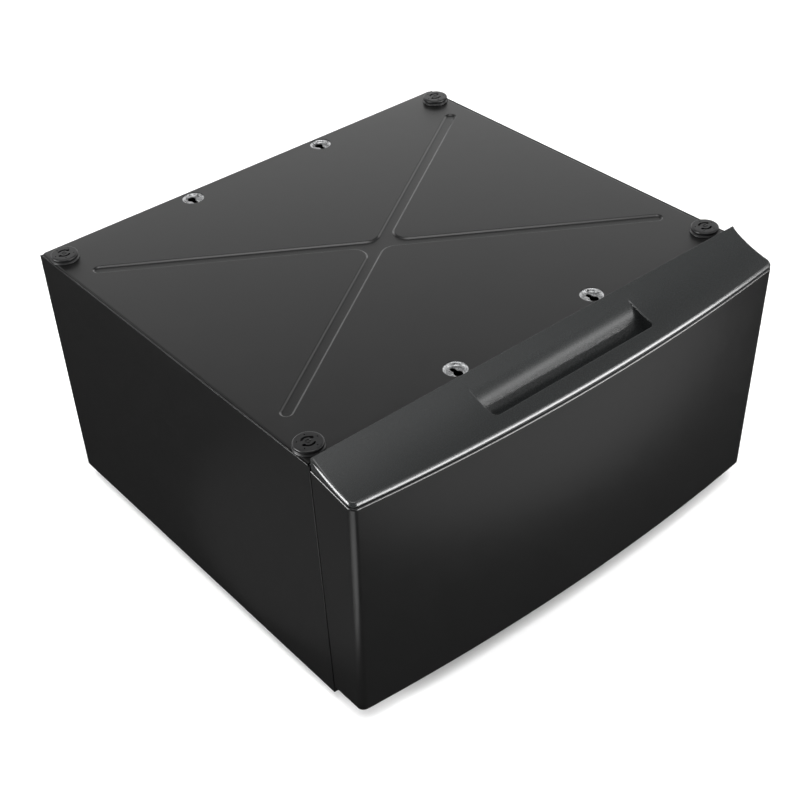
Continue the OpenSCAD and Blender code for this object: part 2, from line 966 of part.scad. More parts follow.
// (y, z) outline of the moulding shrunk by skin, down to low above the panel's edge
function trim_outline(skin, low) =
    let (r = trim_curve_r + skin,
         rear = acos((trim_rear_y - skin - trim_centre[0]) / r),
         front = acos((trim_front_y - trim_centre[0]) / r))
    concat([[trim_front_y, edge_z(trim_front_y) + low], [trim_rear_y - skin, edge_z(trim_rear_y) + low]],
           arc(trim_centre, r, -rear, -front, 20));

// The moulding's outside, shrunk by skin
module trim_volume(skin, low) {
    intersection() {
        upright_front(trim_inset + skin);
        along_x(cabinet_w) polygon(trim_outline(skin, low));
    }
}

// A U-shaped band of the plan between two insets and two heights above the edge
module trim_band(outer, inner, low, high) {
    intersection() {
        difference() {
            upright_front(outer);
            upright_front(inner);
        }
        along_x(cabinet_w) polygon([
            [trim_front_y, edge_z(trim_front_y) + low], [trim_rear_y, edge_z(trim_rear_y) + low],
            [trim_rear_y, edge_z(trim_rear_y) + high], [trim_front_y, edge_z(trim_front_y) + high]]);
    }
}

function scoop_outline(grow) = concat(
    arc(scoop_bend, scoop_bend_r - grow, 90 + scoop_start_slope, 90 + scoop_slope, 6),
    arc(scoop_bottom, scoop_bottom_r + grow, scoop_slope - 90, -180, 10),
    [[scoop_wall_y - grow, top_z + 60],
     [scoop_bend[0] - (scoop_bend_r - grow) * sin(scoop_start_slope), top_z + 60]]);

module at_trim_screws() {
    for (x = trim_screw_x) {
        y = face_y + pow(x, 2) / (2 * bow_r) + trim_screw_inset;
        translate([x, y, edge_z(y)]) rotate([edge_angle, 0, 0]) children();
    }
}

module trim_screws() {
    color(galvanised) at_trim_screws() {
        translate([0, 0, -front_sheet - trim_head_h]) cylinder(r = trim_head_r, h = trim_head_h);
        translate([0, 0, -front_sheet - tiny])
            cylinder(r = trim_screw_r, h = front_sheet + trim_screw_length);
    }
}

module drawer_top_trim() {
    skirt_inset = lip_w + skirt_gap;
    skirt_inner = skirt_inset + trim_wall;
    tongue_x = half_w - skirt_inner;
    color(moulded) difference() {
        union() {
            difference() {
                trim_volume(0, trim_groove);
                trim_volume(trim_wall, -20);
            }
            trim_band(trim_inset, skirt_inner, trim_groove, trim_groove + trim_wall);
            trim_band(neck_inset, skirt_inner - 0.1, 0, trim_groove + 1);
            trim_band(skirt_inset, skirt_inner - 0.2, -skirt_drop, 1);
            block([-tongue_x, trim_rear_y - trim_wall, top_z - tongue_drop],
                  [tongue_x, trim_rear_y, top_z + 2]);
            along_x(scoop_w + 2 * trim_wall) intersection() {
                polygon(scoop_outline(trim_wall));
                polygon(trim_outline(0, -60));
            }
        }
        along_x(scoop_w) polygon(scoop_outline(0));
        at_trim_screws() translate([0, 0, -1]) cylinder(r = trim_screw_r + 0.05, h = 5);
    }
}

// ---- output ----

top_panel();
left_side_panel();
right_side_panel();
back_panel();
front_top_rail();
front_bottom_rail();
rear_bottom_rail();
front_mount_bracket();
rear_mount_bracket();
corner_pad_front_left();
corner_pad_front_right();
corner_pad_rear_left();
corner_pad_rear_right();
leg_plate_front_left();
leg_plate_front_right();
leg_plate_rear_left();
leg_plate_rear_right();
leg_weld_nuts();
leg_lock_nuts();
back_panel_screws();
drawer_bumpers();
left_slide_support();
right_slide_support();
left_slide_outer();
right_slide_outer();
outer_slide_screws();
left_slide_middle();
right_slide_middle();
left_outer_cage();
right_outer_cage();
left_outer_balls();
right_outer_balls();
left_inner_cage();
right_inner_cage();
left_inner_balls();
right_inner_balls();
left_slide_inner();
right_slide_inner();
inner_slide_screws();
drawer_front_panel();
drawer_top_trim();
drawer_inner_panel();
drawer_floor();
drawer_left_wall();
drawer_right_wall();
drawer_back_wall();
drawer_front_screws();
trim_screws();
leg_foot_front_left();
leg_foot_front_right();
leg_foot_rear_left();
leg_foot_rear_right();
leg_stud_front_left();
leg_stud_front_right();
leg_stud_rear_left();
leg_stud_rear_right();
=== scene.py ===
"""Looks of a laundry pedestal with a storage drawer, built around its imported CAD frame. Metres."""
import json
from math import asin, atan, atan2, cos, degrees, pi, radians, sin, sqrt, tan

import bmesh
import bpy
from mathutils import Matrix, Vector

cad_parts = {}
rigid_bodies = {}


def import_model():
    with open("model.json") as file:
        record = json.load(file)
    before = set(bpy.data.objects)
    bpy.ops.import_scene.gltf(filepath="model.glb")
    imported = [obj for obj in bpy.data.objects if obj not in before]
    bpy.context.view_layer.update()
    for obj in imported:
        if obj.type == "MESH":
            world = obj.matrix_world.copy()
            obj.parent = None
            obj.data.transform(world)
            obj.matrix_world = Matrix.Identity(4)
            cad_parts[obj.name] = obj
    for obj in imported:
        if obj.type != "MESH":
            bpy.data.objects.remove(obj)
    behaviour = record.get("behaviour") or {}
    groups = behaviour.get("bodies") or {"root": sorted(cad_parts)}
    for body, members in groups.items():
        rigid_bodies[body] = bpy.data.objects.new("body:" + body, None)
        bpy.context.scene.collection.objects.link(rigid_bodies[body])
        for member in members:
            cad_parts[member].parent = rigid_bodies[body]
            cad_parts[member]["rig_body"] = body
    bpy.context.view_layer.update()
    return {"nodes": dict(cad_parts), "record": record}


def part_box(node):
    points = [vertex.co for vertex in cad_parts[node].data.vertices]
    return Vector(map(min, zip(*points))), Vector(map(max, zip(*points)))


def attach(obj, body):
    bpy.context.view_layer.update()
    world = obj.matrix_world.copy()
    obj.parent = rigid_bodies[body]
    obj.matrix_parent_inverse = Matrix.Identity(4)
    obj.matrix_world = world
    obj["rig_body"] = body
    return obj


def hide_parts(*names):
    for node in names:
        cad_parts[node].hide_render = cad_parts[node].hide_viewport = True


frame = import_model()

MM = 0.001
X = Vector((1, 0, 0))
Y = Vector((0, 1, 0))
Z = Vector((0, 0, 1))

# -------- places read from the frame

SIDE_LOW, SIDE_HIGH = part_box("right_side_panel")
TOP_LOW, TOP_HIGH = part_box("top_panel")
PANEL_LOW, PANEL_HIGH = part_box("drawer_front_panel")
TRIM_LOW, TRIM_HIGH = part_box("drawer_top_trim")
HALF_W = SIDE_HIGH.x
FRONT_Y = SIDE_LOW.y
BACK_Y = SIDE_HIGH.y
TOP_Z = TOP_HIGH.z
SHEET = 1.0 * MM
LEGS = [f"{row}_{side}" for row in ("front", "rear") for side in ("left", "right")]
SIDES = (("right", False), ("left", True))

# The four keyholes, from the record's bolt pattern. Each sits 5 mm off its window's centre.
PATTERN = next(m for m in frame["record"]["mounts"] if m["name"] == "washer_keyholes")
KEY_X = PATTERN["dims"]["spacing_x_mm"] * MM / 2
KEY_HALF_Y = PATTERN["dims"]["spacing_y_mm"] * MM / 2
KEY_MID_Y = PATTERN["pos_m"][1]
KEY_R = PATTERN["dims"]["hole_r_mm"] * MM
KEY_OFFSET = 5 * MM
KEY_SLOT_R = 3.3 * MM
KEY_LENGTH = 11 * MM
WINDOW_R = 15.5 * MM
WINDOW_POINTS = 64

# Points round the pads, nuts, studs and feet.
ROUND = 72


def islands(node):
    """(lowest corner, highest corner) of each separate solid of a CAD node."""
    bm = bmesh.new()
    bm.from_mesh(frame["nodes"][node].data)
    bmesh.ops.remove_doubles(bm, verts=bm.verts, dist=1e-6)
    left = set(bm.verts)
    found = []
    while left:
        front = [left.pop()]
        solid = []
        while front:
            vert = front.pop()
            solid.append(vert.co.copy())
            for edge in vert.link_edges:
                other = edge.other_vert(vert)
                if other in left:
                    left.remove(other)
                    front.append(other)
        found.append([Vector([pick(co[i] for co in solid) for i in range(3)]) for pick in (min, max)])
    bm.free()
    return sorted(found, key=lambda box: tuple(round(c, 5) for c in box[0]))


def middles(node):
    return [(low + high) / 2 for low, high in islands(node)]


def on_axis(low, high, z):
    """The point at height z on the upright axis of a box."""
    return Vector(((low.x + high.x) / 2, (low.y + high.y) / 2, z))


# -------- materials

WHITE = (1, 1, 1)


def put(node, **values):
    """Sets inputs of a node. An underscore stands for a space."""
    for name, value in values.items():
        node.inputs[name.replace("_", " ")].default_value = value


def drive(node, entry, source):
    node.id_data.links.new(source, node.inputs[entry])


def fed(source, kind, entry, **values):
    """A new node that a socket feeds through one of its inputs."""
    node = source.id_data.nodes.new("ShaderNode" + kind)
    put(node, **values)
    drive(node, entry, source)
    return node


def new_material(name, metallic, roughness, specular=0.5):
    """An empty Principled material, its shader and its object coordinates."""
    material = bpy.data.materials.new(name)
    material.use_nodes = True
    shader = material.node_tree.nodes["Principled BSDF"]
    put(shader, Metallic=metallic, Roughness=roughness, Specular_IOR_Level=specular)
    coords = material.node_tree.nodes.new("ShaderNodeTexCoord")
    return material, shader, coords.outputs["Object"]


def stretched(coords, stretch):
    return fed(coords, "Mapping", "Vector", Scale=stretch).outputs["Vector"]


def noise(coords, scale, detail=2.0, rough=0.5):
    node = fed(coords, "TexNoise", "Vector", Scale=scale, Detail=detail, Roughness=rough)
    return node.outputs["Fac"]


def cells(coords, scale):
    """A random number for each cell."""
    colours = fed(coords, "TexVoronoi", "Vector", Scale=scale).outputs["Color"]
    return fed(colours, "SeparateColor", "Color").outputs["Red"]


def ramp(factor, stops):
    """Colours over a factor. stops is [(place, colour), ...]."""
    node = fed(factor, "ValToRGB", "Fac")
    elements = node.color_ramp.elements
    for element, stop in ((elements[0], stops[0]), (elements[1], stops[-1])):
        element.position, element.color = stop[0], (*stop[1], 1)
    for place, colour in stops[1:-1]:
        elements.new(place).color = (*colour, 1)
    return node.outputs["Color"]


def spread(factor, low, high, start=0.3, end=0.7):
    """Stretches a factor between start and end over low to high."""
    node = fed(factor, "MapRange", "Value", From_Min=start, From_Max=end, To_Min=low, To_Max=high)
    return node.outputs["Result"]


def mixed(factor, first, second, kind="MIX"):
    """A mix of two colours. The factor and the second colour are sockets or values."""
    node = first.id_data.nodes.new("ShaderNodeMix")
    node.data_type = "RGBA"
    node.blend_type = kind
    drive(node, "A", first)
    for entry, source in (("Factor", factor), ("B", second)):
        if isinstance(source, bpy.types.NodeSocket):
            drive(node, entry, source)
        else:
            node.inputs[entry].default_value = source
    return node.outputs["Result"]


def bump(shader, height, strength, distance, before=None):
    """Bumps the surface, on top of the bump before. distance is in millimetres."""
    node = fed(height, "Bump", "Height", Strength=strength, Distance=distance * MM)
    if before is not None:
        drive(node, "Normal", before)
    drive(shader, "Normal", node.outputs["Normal"])
    return node.outputs["Normal"]


def shades(colour, spans):
    """Ramp stops at even places, each the colour times a span."""
    count = len(spans) - 1
    return [(i / count, [c * span for c in colour]) for i, span in enumerate(spans)]


def dress(shader, tone, factor, below, above, over=(0.3, 0.7)):
    """Links the colour, and a roughness from below to above the shader's own value."""
    drive(shader, "Base Color", tone)
    middle = shader.inputs["Roughness"].default_value
    drive(shader, "Roughness", spread(factor, middle - below, middle + above, *over))


def paint(name, colour, roughness, specular, grain):
    """Dark satin appliance paint: soft tone drift, fine metal flake and orange peel."""
    material, shader, coords = new_material(name, 0.0, roughness, specular)
    drift = ramp(noise(coords, 3.0), shades(colour, (0.93, 1.0, 1.07)))
    flake = ramp(cells(coords, 2600), shades(WHITE, (0.86, 1.0, 1.16)))
    dress(shader, mixed(1.0, drift, flake, "MULTIPLY"), noise(coords, 40), 0.012, 0.012)
    peel = bump(shader, noise(coords, 700, 1.0), 0.10, 0.05)
    bump(shader, noise(coords, 2400, 3.0), grain, 0.03, before=peel)
    return material


def moulding(name, colour, roughness, grain_scale, grain, specular=0.4):
    """Moulded plastic with a fine eroded grain."""
    material, shader, coords = new_material(name, 0.0, roughness, specular)
    grains = noise(coords, grain_scale, 4.0, 0.6)
    dress(shader, ramp(noise(coords, 18, 3.0), shades(colour, (0.94, 1.0, 1.06))), grains, 0.04, 0.05)
    bump(shader, grains, grain, 0.04)
    return material


def galvanised(name):
    """Hot-dip zinc: crystals a few millimetres wide, each with its own tone and gloss."""
    material, shader, coords = new_material(name, 0.9, 0.38)
    crystals = cells(coords, 420)
    base = ramp(crystals, [
        (0, (0.26, 0.265, 0.27)), (0.5, (0.42, 0.425, 0.43)), (1, (0.62, 0.625, 0.63))])
    frost = ramp(noise(coords, 900, 3.0), shades(WHITE, (0.82, 1.0, 1.05)))
    dress(shader, mixed(1.0, base, frost, "MULTIPLY"), crystals, 0.12, 0.12, (0, 1))
    bump(shader, crystals, 0.08, 0.05)
    return material


def plated(name, colour, roughness, stretch=(1, 1, 1), scale=300):
    """Zinc-plated or rolled steel. Its faint drawing lines run where stretch is smallest."""
    material, shader, coords = new_material(name, 1.0, roughness)
    lines = noise(stretched(coords, stretch), scale, 4.0, 0.6)
    cloud = ramp(noise(coords, 45, 3.0), shades(colour, (0.84, 1.0, 1.08)))
    streak = ramp(lines, shades(WHITE, (0.88, 1.0, 1.08)))
    dress(shader, mixed(1.0, cloud, streak, "MULTIPLY"), lines, 0.08, 0.1)
    bump(shader, lines, 0.06, 0.03)
    return material


MATERIALS = {
    "painted_steel": paint("satin_dark_paint", (0.0038, 0.0038, 0.0038), 0.32, 0.5, 0.08),
    "painted_inner_steel": paint("inner_dark_paint", (0.020, 0.020, 0.021), 0.5, 0.45, 0.12),
    "trim_plastic": moulding("trim_moulding", (0.0118, 0.0127, 0.0128), 0.26, 1500, 0.06, 0.55),
    "corner_pad_plastic": moulding("pad_moulding", (0.006, 0.006, 0.0063), 0.36, 900, 0.15),
    "foot_plastic": moulding("foot_moulding", (0.02, 0.02, 0.02), 0.55, 700, 0.3),
    "bumper_rubber": moulding("bumper_rubber", (0.014, 0.014, 0.014), 0.72, 500, 0.35, 0.3),
    "galvanised_bracket": galvanised("galvanised_bracket_steel"),
    "slide_steel": plated("slide_zinc", (0.62, 0.63, 0.65), 0.32, (1, 0.05, 1)),
    "cage_steel": plated("cage_strip", (0.58, 0.57, 0.55), 0.4, (1, 0.05, 1)),
    "ball_steel": plated("ball_chrome", (0.78, 0.78, 0.79), 0.14, scale=120),
    "plated_fastener": plated("fastener_zinc", (0.66, 0.66, 0.67), 0.34, scale=500),
    "plated_stud": plated("stud_zinc", (0.63, 0.63, 0.62), 0.36, (1, 1, 3), 400),
}
SLOTS = {part["node"]: part["material_slot"] for part in frame["record"]["subparts"]}
for node_name, node_object in frame["nodes"].items():
    node_object.data.materials.clear()
    node_object.data.materials.append(MATERIALS[SLOTS[node_name]])

# -------- mesh tools


class Skin:
    """A surface laid out face by face. Points at the same place share a vertex."""

    def __init__(self):
        self.bm = bmesh.new()
        self.placed = {}

    def vert(self, point):
        key = tuple(round(c * 1e7) for c in point)
        if key not in self.placed:
            self.placed[key] = self.bm.verts.new(point)
        return self.placed[key]

    def face(self, points):
        """One face, left out where its points run together."""
        verts = []
        for point in points:
            vert = self.vert(point)
            if vert not in verts:
                verts.append(vert)
        if len(verts) > 2 and not self.bm.faces.get(verts):
            self.bm.faces.new(verts)

    def fill(self, outline, holes, normal):
        """Fills a flat outline that may have holes. normal points to its outer side."""
        edges = []
        for loop in [outline, *holes]:
            verts = [self.vert(point) for point in loop]
            for first, second in zip(verts, verts[1:] + verts[:1]):
                if first != second:
                    edges.append(self.bm.edges.get((first, second)) or self.bm.edges.new((first, second)))
        made = bmesh.ops.triangle_fill(self.bm, use_beauty=True, use_dissolve=False,
                                       edges=list(dict.fromkeys(edges)), normal=normal)
        for face in made["geom"]:
            if isinstance(face, bmesh.types.BMFace):
                face.normal_update()
                if face.normal.dot(normal) < 0:
                    face.normal_flip()

    def strip(self, first, second, closed=True):
        """Quads from one row of points to the next."""
        count = len(first)
        for i in range(count if closed else count - 1):
            j = (i + 1) % count
            self.face([first[i], first[j], second[j], second[i]])

    def rows(self, rows, closed=True):
        for first, second in zip(rows, rows[1:]):
            self.strip(first, second, closed)

    def ball_end(self, row, tip):
        """A fan from a closed row to one point."""
        for first, second in zip(row, row[1:] + row[:1]):
            self.face([first, second, tip])


def polar(turn, radius=1.0, z=0.0):
    return Vector((radius * cos(turn), radius * sin(turn), z))


def sweep(centre, radius, start, turn, steps, u=X, v=Y):
    """Points along an arc in the plane of u and v, both ends included."""
    turns = [start + turn * k / steps for k in range(steps + 1)]
    return [centre + radius * (cos(t) * u + sin(t) * v) for t in turns]


def circle(centre, radius, count, u=X, v=Y):
    return sweep(centre, radius, 0.0, 2 * pi, count, u, v)[:-1]


def across(axis):
    """Two directions square to an axis, counter-clockwise about it."""
    u = X if abs(axis.x) < 0.5 else Y
    return u, axis.cross(u)


def revolve(skin, centre, axis, profile, count):
    """Turns (radius, height) points about an axis. A radius of 0 closes an end."""
    u, v = across(axis)
    for (r0, h0), (r1, h1) in zip(profile, profile[1:]):
        low, high = centre + axis * h0, centre + axis * h1
        if r0 == 0:
            skin.ball_end(circle(high, r1, count, u, v)[::-1], low)
        elif r1 == 0:
            skin.ball_end(circle(low, r0, count, u, v), high)
        else:
            skin.strip(circle(low, r0, count, u, v), circle(high, r1, count, u, v))


def rounding(centre, radius, start, end, steps=6, rise=None):
    """(x, y) points of an arc, in degrees. rise is its height where that isn't its radius."""
    rise = radius if rise is None else rise
    turns = [radians(start + (end - start) * i / steps) for i in range(steps + 1)]
    return [(centre[0] + radius * cos(t), centre[1] + rise * sin(t)) for t in turns]


def pressed(steps=8):
    """(share, fall) down a pressed wall that starts and ends level."""
    shares = [k / steps for k in range(steps + 1)]
    return [(share, (1 - cos(pi * share)) / 2) for share in shares]


def as_object(name, skin, mirrored):
    if mirrored:
        bmesh.ops.scale(skin.bm, vec=(-1, 1, 1), verts=skin.bm.verts)
        bmesh.ops.reverse_faces(skin.bm, faces=skin.bm.faces)
    mesh = bpy.data.meshes.new(name)
    skin.bm.to_mesh(mesh)
    skin.bm.free()
    piece = bpy.data.objects.new(name, mesh)
    bpy.context.scene.collection.objects.link(piece)
    return piece


def settle(piece):
    """Applies the piece's modifiers to its mesh."""
    bpy.context.view_layer.update()
    evaluated = piece.evaluated_get(bpy.context.evaluated_depsgraph_get())
    mesh = bpy.data.meshes.new_from_object(evaluated)
    piece.modifiers.clear()
    piece.data = mesh


def finished(name, skin, node, thickness=0.0, edge=0.0, mirrored=False, sharp=35.0, even=True):
    """The piece that stands for a CAD node, with its sheet thickness and eased edges."""
    piece = as_object(name, skin, mirrored)
    if thickness:
        solidify = piece.modifiers.new("sheet", "SOLIDIFY")
        solidify.thickness = thickness
        solidify.offset = -1
        solidify.use_even_offset = even
        solidify.use_quality_normals = even
        settle(piece)
    if edge:
        bevel = piece.modifiers.new("eased_edges", "BEVEL")
        bevel.width = edge
        bevel.segments = 2
        bevel.limit_method = "ANGLE"
        bevel.angle_limit = radians(50)
        settle(piece)
    piece.data.shade_smooth()
    piece.data.set_sharp_from_angle(angle=radians(sharp))
    weighted = piece.modifiers.new("flat_faces_stay_flat", "WEIGHTED_NORMAL")
    weighted.keep_sharp = True
    weighted.weight = 100
    piece.data.materials.append(MATERIALS[SLOTS[node]])
    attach(piece, frame["nodes"][node]["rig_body"])
    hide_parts(node)


def fold_path(steps, radius, inner_radius):
    """(out, up) points of a folded strip, and where the first flat starts in that list.

    A step is (angle, length). A positive angle folds away from the outer side, and length is
    measured over the bends.
    """
    place = Vector((0, 0))
    heading = 0.0
    points = [place.copy()]
    first_flat = None
    for k, (angle, length) in enumerate(steps):
        sign = 1 if angle > 0 else -1
        r = radius if angle > 0 else inner_radius
        side = Vector((-sin(heading), cos(heading)))
        centre = place - sign * r * side
        segments = max(4, int(abs(angle) / 15))
        for _ in range(segments):
            heading -= radians(angle) / segments
            side = Vector((-sin(heading), cos(heading)))
            points.append(centre + sign * r * side)
        first_flat = first_flat or len(points) - 1
        flat = length - r
        if k + 1 < len(steps):
            flat -= radius if steps[k + 1][0] > 0 else inner_radius
        place = points[-1] + flat * Vector((cos(heading), sin(heading)))
        points.append(place.copy())
    return points, first_flat


def folded(skin, origin, u, v, size, edges, holes=(), loops=(), radius=1.5 * MM, thickness=SHEET):
    """A flat sheet with flanges folded off its edges.

    origin is the corner of its outer face, u and v run along it, and u x v is its outer side.
    edges maps "u0", "u1", "v0" and "v1" to (steps, (trim, trim), flange holes). A hole is
    (u, v, radius), and a flange hole is (place along the edge, place across the flat, radius).
    """
    normal = u.cross(v)
    flat = {"u0": 0.0, "u1": size[0], "v0": 0.0, "v1": size[1]}
    for name in edges:
        flat[name] += radius if name[1] == "0" else -radius
    corners = {"v0": ("u0", "v0", "u1", "v0"), "u1": ("u1", "v0", "u1", "v1"),
               "v1": ("u1", "v1", "u0", "v1"), "u0": ("u0", "v1", "u0", "v0")}
    outline = []
    inner_radius = max(radius - thickness, 0.3 * MM)
    for name, keys in corners.items():
        start = origin + u * flat[keys[0]] + v * flat[keys[1]]
        end = origin + u * flat[keys[2]] + v * flat[keys[3]]
        outline.append(start)
        if name not in edges:
            continue
        steps, trims, flange_holes = (*edges[name], (), ())[:3]
        trims = trims or (0.0, 0.0)
        along = (end - start).normalized()
        out = along.cross(normal)
        start, end = start + along * trims[0], end - along * trims[1]
        outline += [start, end]
        points, first_flat = fold_path(steps, radius, inner_radius)
        for k, (here, there) in enumerate(zip(points, points[1:])):
            near = out * here.x + normal * here.y
            far = out * there.x + normal * there.y
            quad = [start + near, start + far, end + far, end + near]
            if flange_holes and k == first_flat:
                over = (far - near).normalized()
                rings = [circle(start + near + along * a + over * b, r, 20, along, over)
                         for a, b, r in flange_holes]
                skin.fill(quad, rings, over.cross(along))
            else:
                skin.face(quad)
    rings = [circle(origin + u * a + v * b, r, 24, u, v) for a, b, r in holes]
    clean = [p for i, p in enumerate(outline) if (p - outline[i - 1]).length > 1e-7]
    skin.fill(clean, rings + list(loops), normal)


def sheet_part(name, node, mirrored=False, thickness=SHEET, edge=0.0, **layout):
    skin = Skin()
    folded(skin, thickness=thickness, **layout)
    finished(name, skin, node, thickness, edge, mirrored)


def upright_sheet(name, node, rear, edges, screw_places=(), edge=0.0):
    """A sheet on the front or rear face of its node's box, drilled for screws.

    A fold without a length reaches through the box.
    """
    low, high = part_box(node)
    edges = {key: ([(angle, length or high.y - low.y) for angle, length in steps], *rest)
             for key, (steps, *rest) in edges.items()}
    sheet_part(name, node, edge=edge, edges=edges, size=(high.x - low.x, high.z - low.z), v=Z,
               origin=Vector((high.x, high.y, low.z)) if rear else low.copy(), u=-X if rear else X,
               holes=[(high.x - p.x, p.z - low.z, HOLE_R) for p in screw_places])


# -------- cabinet

HEM_H = 8 * MM
HEM_R = 1.0 * MM
SIDE_SHEET = 0.98 * SHEET
SIDE_SIZE = (BACK_Y - FRONT_Y, SIDE_HIGH.z - SIDE_LOW.z)
REAR_FLANGE_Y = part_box("back_panel")[0].y
BACK_SCREWS = middles("back_panel_screws")
HOLE_R = 2.1 * MM
FLANGE = 14 * MM


def side_panels():
    """Side sheets: rolled hem on top, flanges in front, behind and below."""
    bumper_holes = [(SIDE_HIGH.z - HEM_R - p.z, HALF_W - SHEET - p.x, HOLE_R)
                    for p in middles("drawer_bumpers") if p.x > 0]
    edges = {"u0": ([(90, FLANGE)], (HEM_R, 0.0), bumper_holes),
             "u1": ([(180, BACK_Y - REAR_FLANGE_Y), (-90, 15 * MM)], (0.0, HEM_R)),
             "v0": ([(90, 20 * MM)], (2 * MM, 4 * MM)),
             "v1": ([(180, HEM_H)], (5 * MM, 2 * MM))}
    for side, mirrored in SIDES:
        sheet_part(f"{side}_side_sheet", f"{side}_side_panel", mirrored, SIDE_SHEET, u=Y, v=Z, edges=edges,
                   origin=Vector((HALF_W, FRONT_Y, SIDE_LOW.z)), size=SIDE_SIZE, radius=HEM_R)


# The pressed cross: bars of one width that run into each other with round corners.
CROSS_HALF = 7.4 * MM
CROSS_DEPTH = 2.3 * MM
CROSS_SHOULDER = 3.8 * MM
CROSS_FILLET = 20 * MM
CROSS_END_X = HALF_W - 40 * MM
CROSS_END_Y = (FRONT_Y + 96 * MM, BACK_Y - 94 * MM)
CROSS_MIDDLE = Vector((0, sum(CROSS_END_Y) / 2, 0))
CROSS_STEPS = 12


def cross_outline(half, height):
    """The cross widened to a half width, at a height. Every width has the same number of points."""
    tips = [Vector((x, y, 0)) for x, y in (
        (CROSS_END_X, CROSS_END_Y[0]), (CROSS_END_X, CROSS_END_Y[1]),
        (-CROSS_END_X, CROSS_END_Y[1]), (-CROSS_END_X, CROSS_END_Y[0]))]
    points = []
    for tip, next_tip in zip(tips, tips[1:] + tips[:1]):
        arm = (tip - CROSS_MIDDLE).normalized()
        points += sweep(tip, half, atan2(arm.y, arm.x) - pi / 2, pi, CROSS_STEPS)
        following = (next_tip - CROSS_MIDDLE).normalized()
        between = (arm + following).normalized()
        centre = CROSS_MIDDLE + between * ((CROSS_HALF + CROSS_FILLET) / arm.cross(between).length)
        first = atan2(-arm.x, arm.y)
        last = atan2(following.x, -following.y)
        turn = (last - first + pi) % (2 * pi) - pi
        points += sweep(centre, CROSS_FILLET + CROSS_HALF - half, first, turn, CROSS_STEPS)
    return [Vector((p.x, p.y, TOP_Z + height)) for p in points]


def top_panel():
    """Top sheet with its pressed cross, four windows and rolled edges."""
    skin = Skin()
    rows = [cross_outline(CROSS_HALF + CROSS_SHOULDER * (0.55 - share), -CROSS_DEPTH * fall)
            for share, fall in pressed()]
    skin.rows(rows)
    skin.fill(rows[-1], [], Z)
    loops = [rows[0]]
    rim = 0.9 * MM
    for y in (KEY_MID_Y - KEY_HALF_Y + KEY_OFFSET, KEY_MID_Y + KEY_HALF_Y - KEY_OFFSET):
        for x in (-KEY_X, KEY_X):
            rings = [circle(Vector((x, y, TOP_Z + down * rim)), WINDOW_R + rim * inward, WINDOW_POINTS)
                     for inward, down in rounding((1, -1), 1, 90, 180, 4)]
            loops.append(rings[0])
            skin.rows(rings)
    pads = [on_axis(*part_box(f"corner_pad_{leg}"), TOP_Z) for leg in LEGS]
    folded(skin, Vector((TOP_LOW.x, FRONT_Y, TOP_Z)), X, Y, (TOP_HIGH.x - TOP_LOW.x, BACK_Y - FRONT_Y), {
        "u0": ([(90, FLANGE)], (3 * MM, 1 * MM)),
        "u1": ([(90, FLANGE)], (1 * MM, 3 * MM)),
        "v0": ([(90, FLANGE - SHEET)], (FLANGE, FLANGE)),
        "v1": ([(90, FLANGE - SHEET)], (1 * MM, 1 * MM)),
    }, [(p.x - TOP_LOW.x, p.y - FRONT_Y, 5 * MM) for p in pads], loops, 3.0 * MM)
    finished("pressed_top_sheet", skin, "top_panel", SHEET)


def plain_panels():
    """Back panel and the three cross rails."""
    inner_screws = [p for p in BACK_SCREWS if abs(p.x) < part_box("rear_bottom_rail")[1].x - 20 * MM]
    angle = {"v1": ([(90, None)],)}
    upright_sheet("back_sheet", "back_panel", True, {}, BACK_SCREWS, 0.25 * MM)
    upright_sheet("front_top_rail_channel", "front_top_rail", False, {"v0": ([(90, None), (90, 9 * MM)],)})
    upright_sheet("front_bottom_rail_angle", "front_bottom_rail", False, angle)
    upright_sheet("rear_bottom_rail_angle", "rear_bottom_rail", True, angle, inner_screws)


def leg_plates():
    """Thick corner plates that carry the legs."""
    for leg in LEGS:
        right_leg = leg.replace("left", "right")
        low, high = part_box(f"leg_plate_{right_leg}")
        foot = on_axis(*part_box(f"leg_foot_{right_leg}"), 0)
        sheet_part(f"{leg}_corner_plate", f"leg_plate_{leg}", "left" in leg, 2.5 * MM, 0.3 * MM,
                   origin=low.copy(), u=Y, v=X, size=(high.y - low.y, high.x - low.x), radius=4 * MM,
                   edges={"v1": ([(90, high.z - low.z)],)},
                   holes=[(foot.y - low.y, foot.x - low.x, 5.6 * MM)])


# -------- washer mounting

def keyhole_outline(centre, towards):
    """Wide round end on one side, narrow slot on the side that towards points to."""
    wide = centre - towards * KEY_OFFSET
    tip = wide + towards * KEY_LENGTH
    aside = Z.cross(towards)
    neck = asin(KEY_SLOT_R / KEY_R)
    return (sweep(wide, KEY_R, neck, 2 * pi - 2 * neck, 20, towards, aside)
            + sweep(tip, KEY_SLOT_R, -pi / 2, pi, 8, towards, aside))


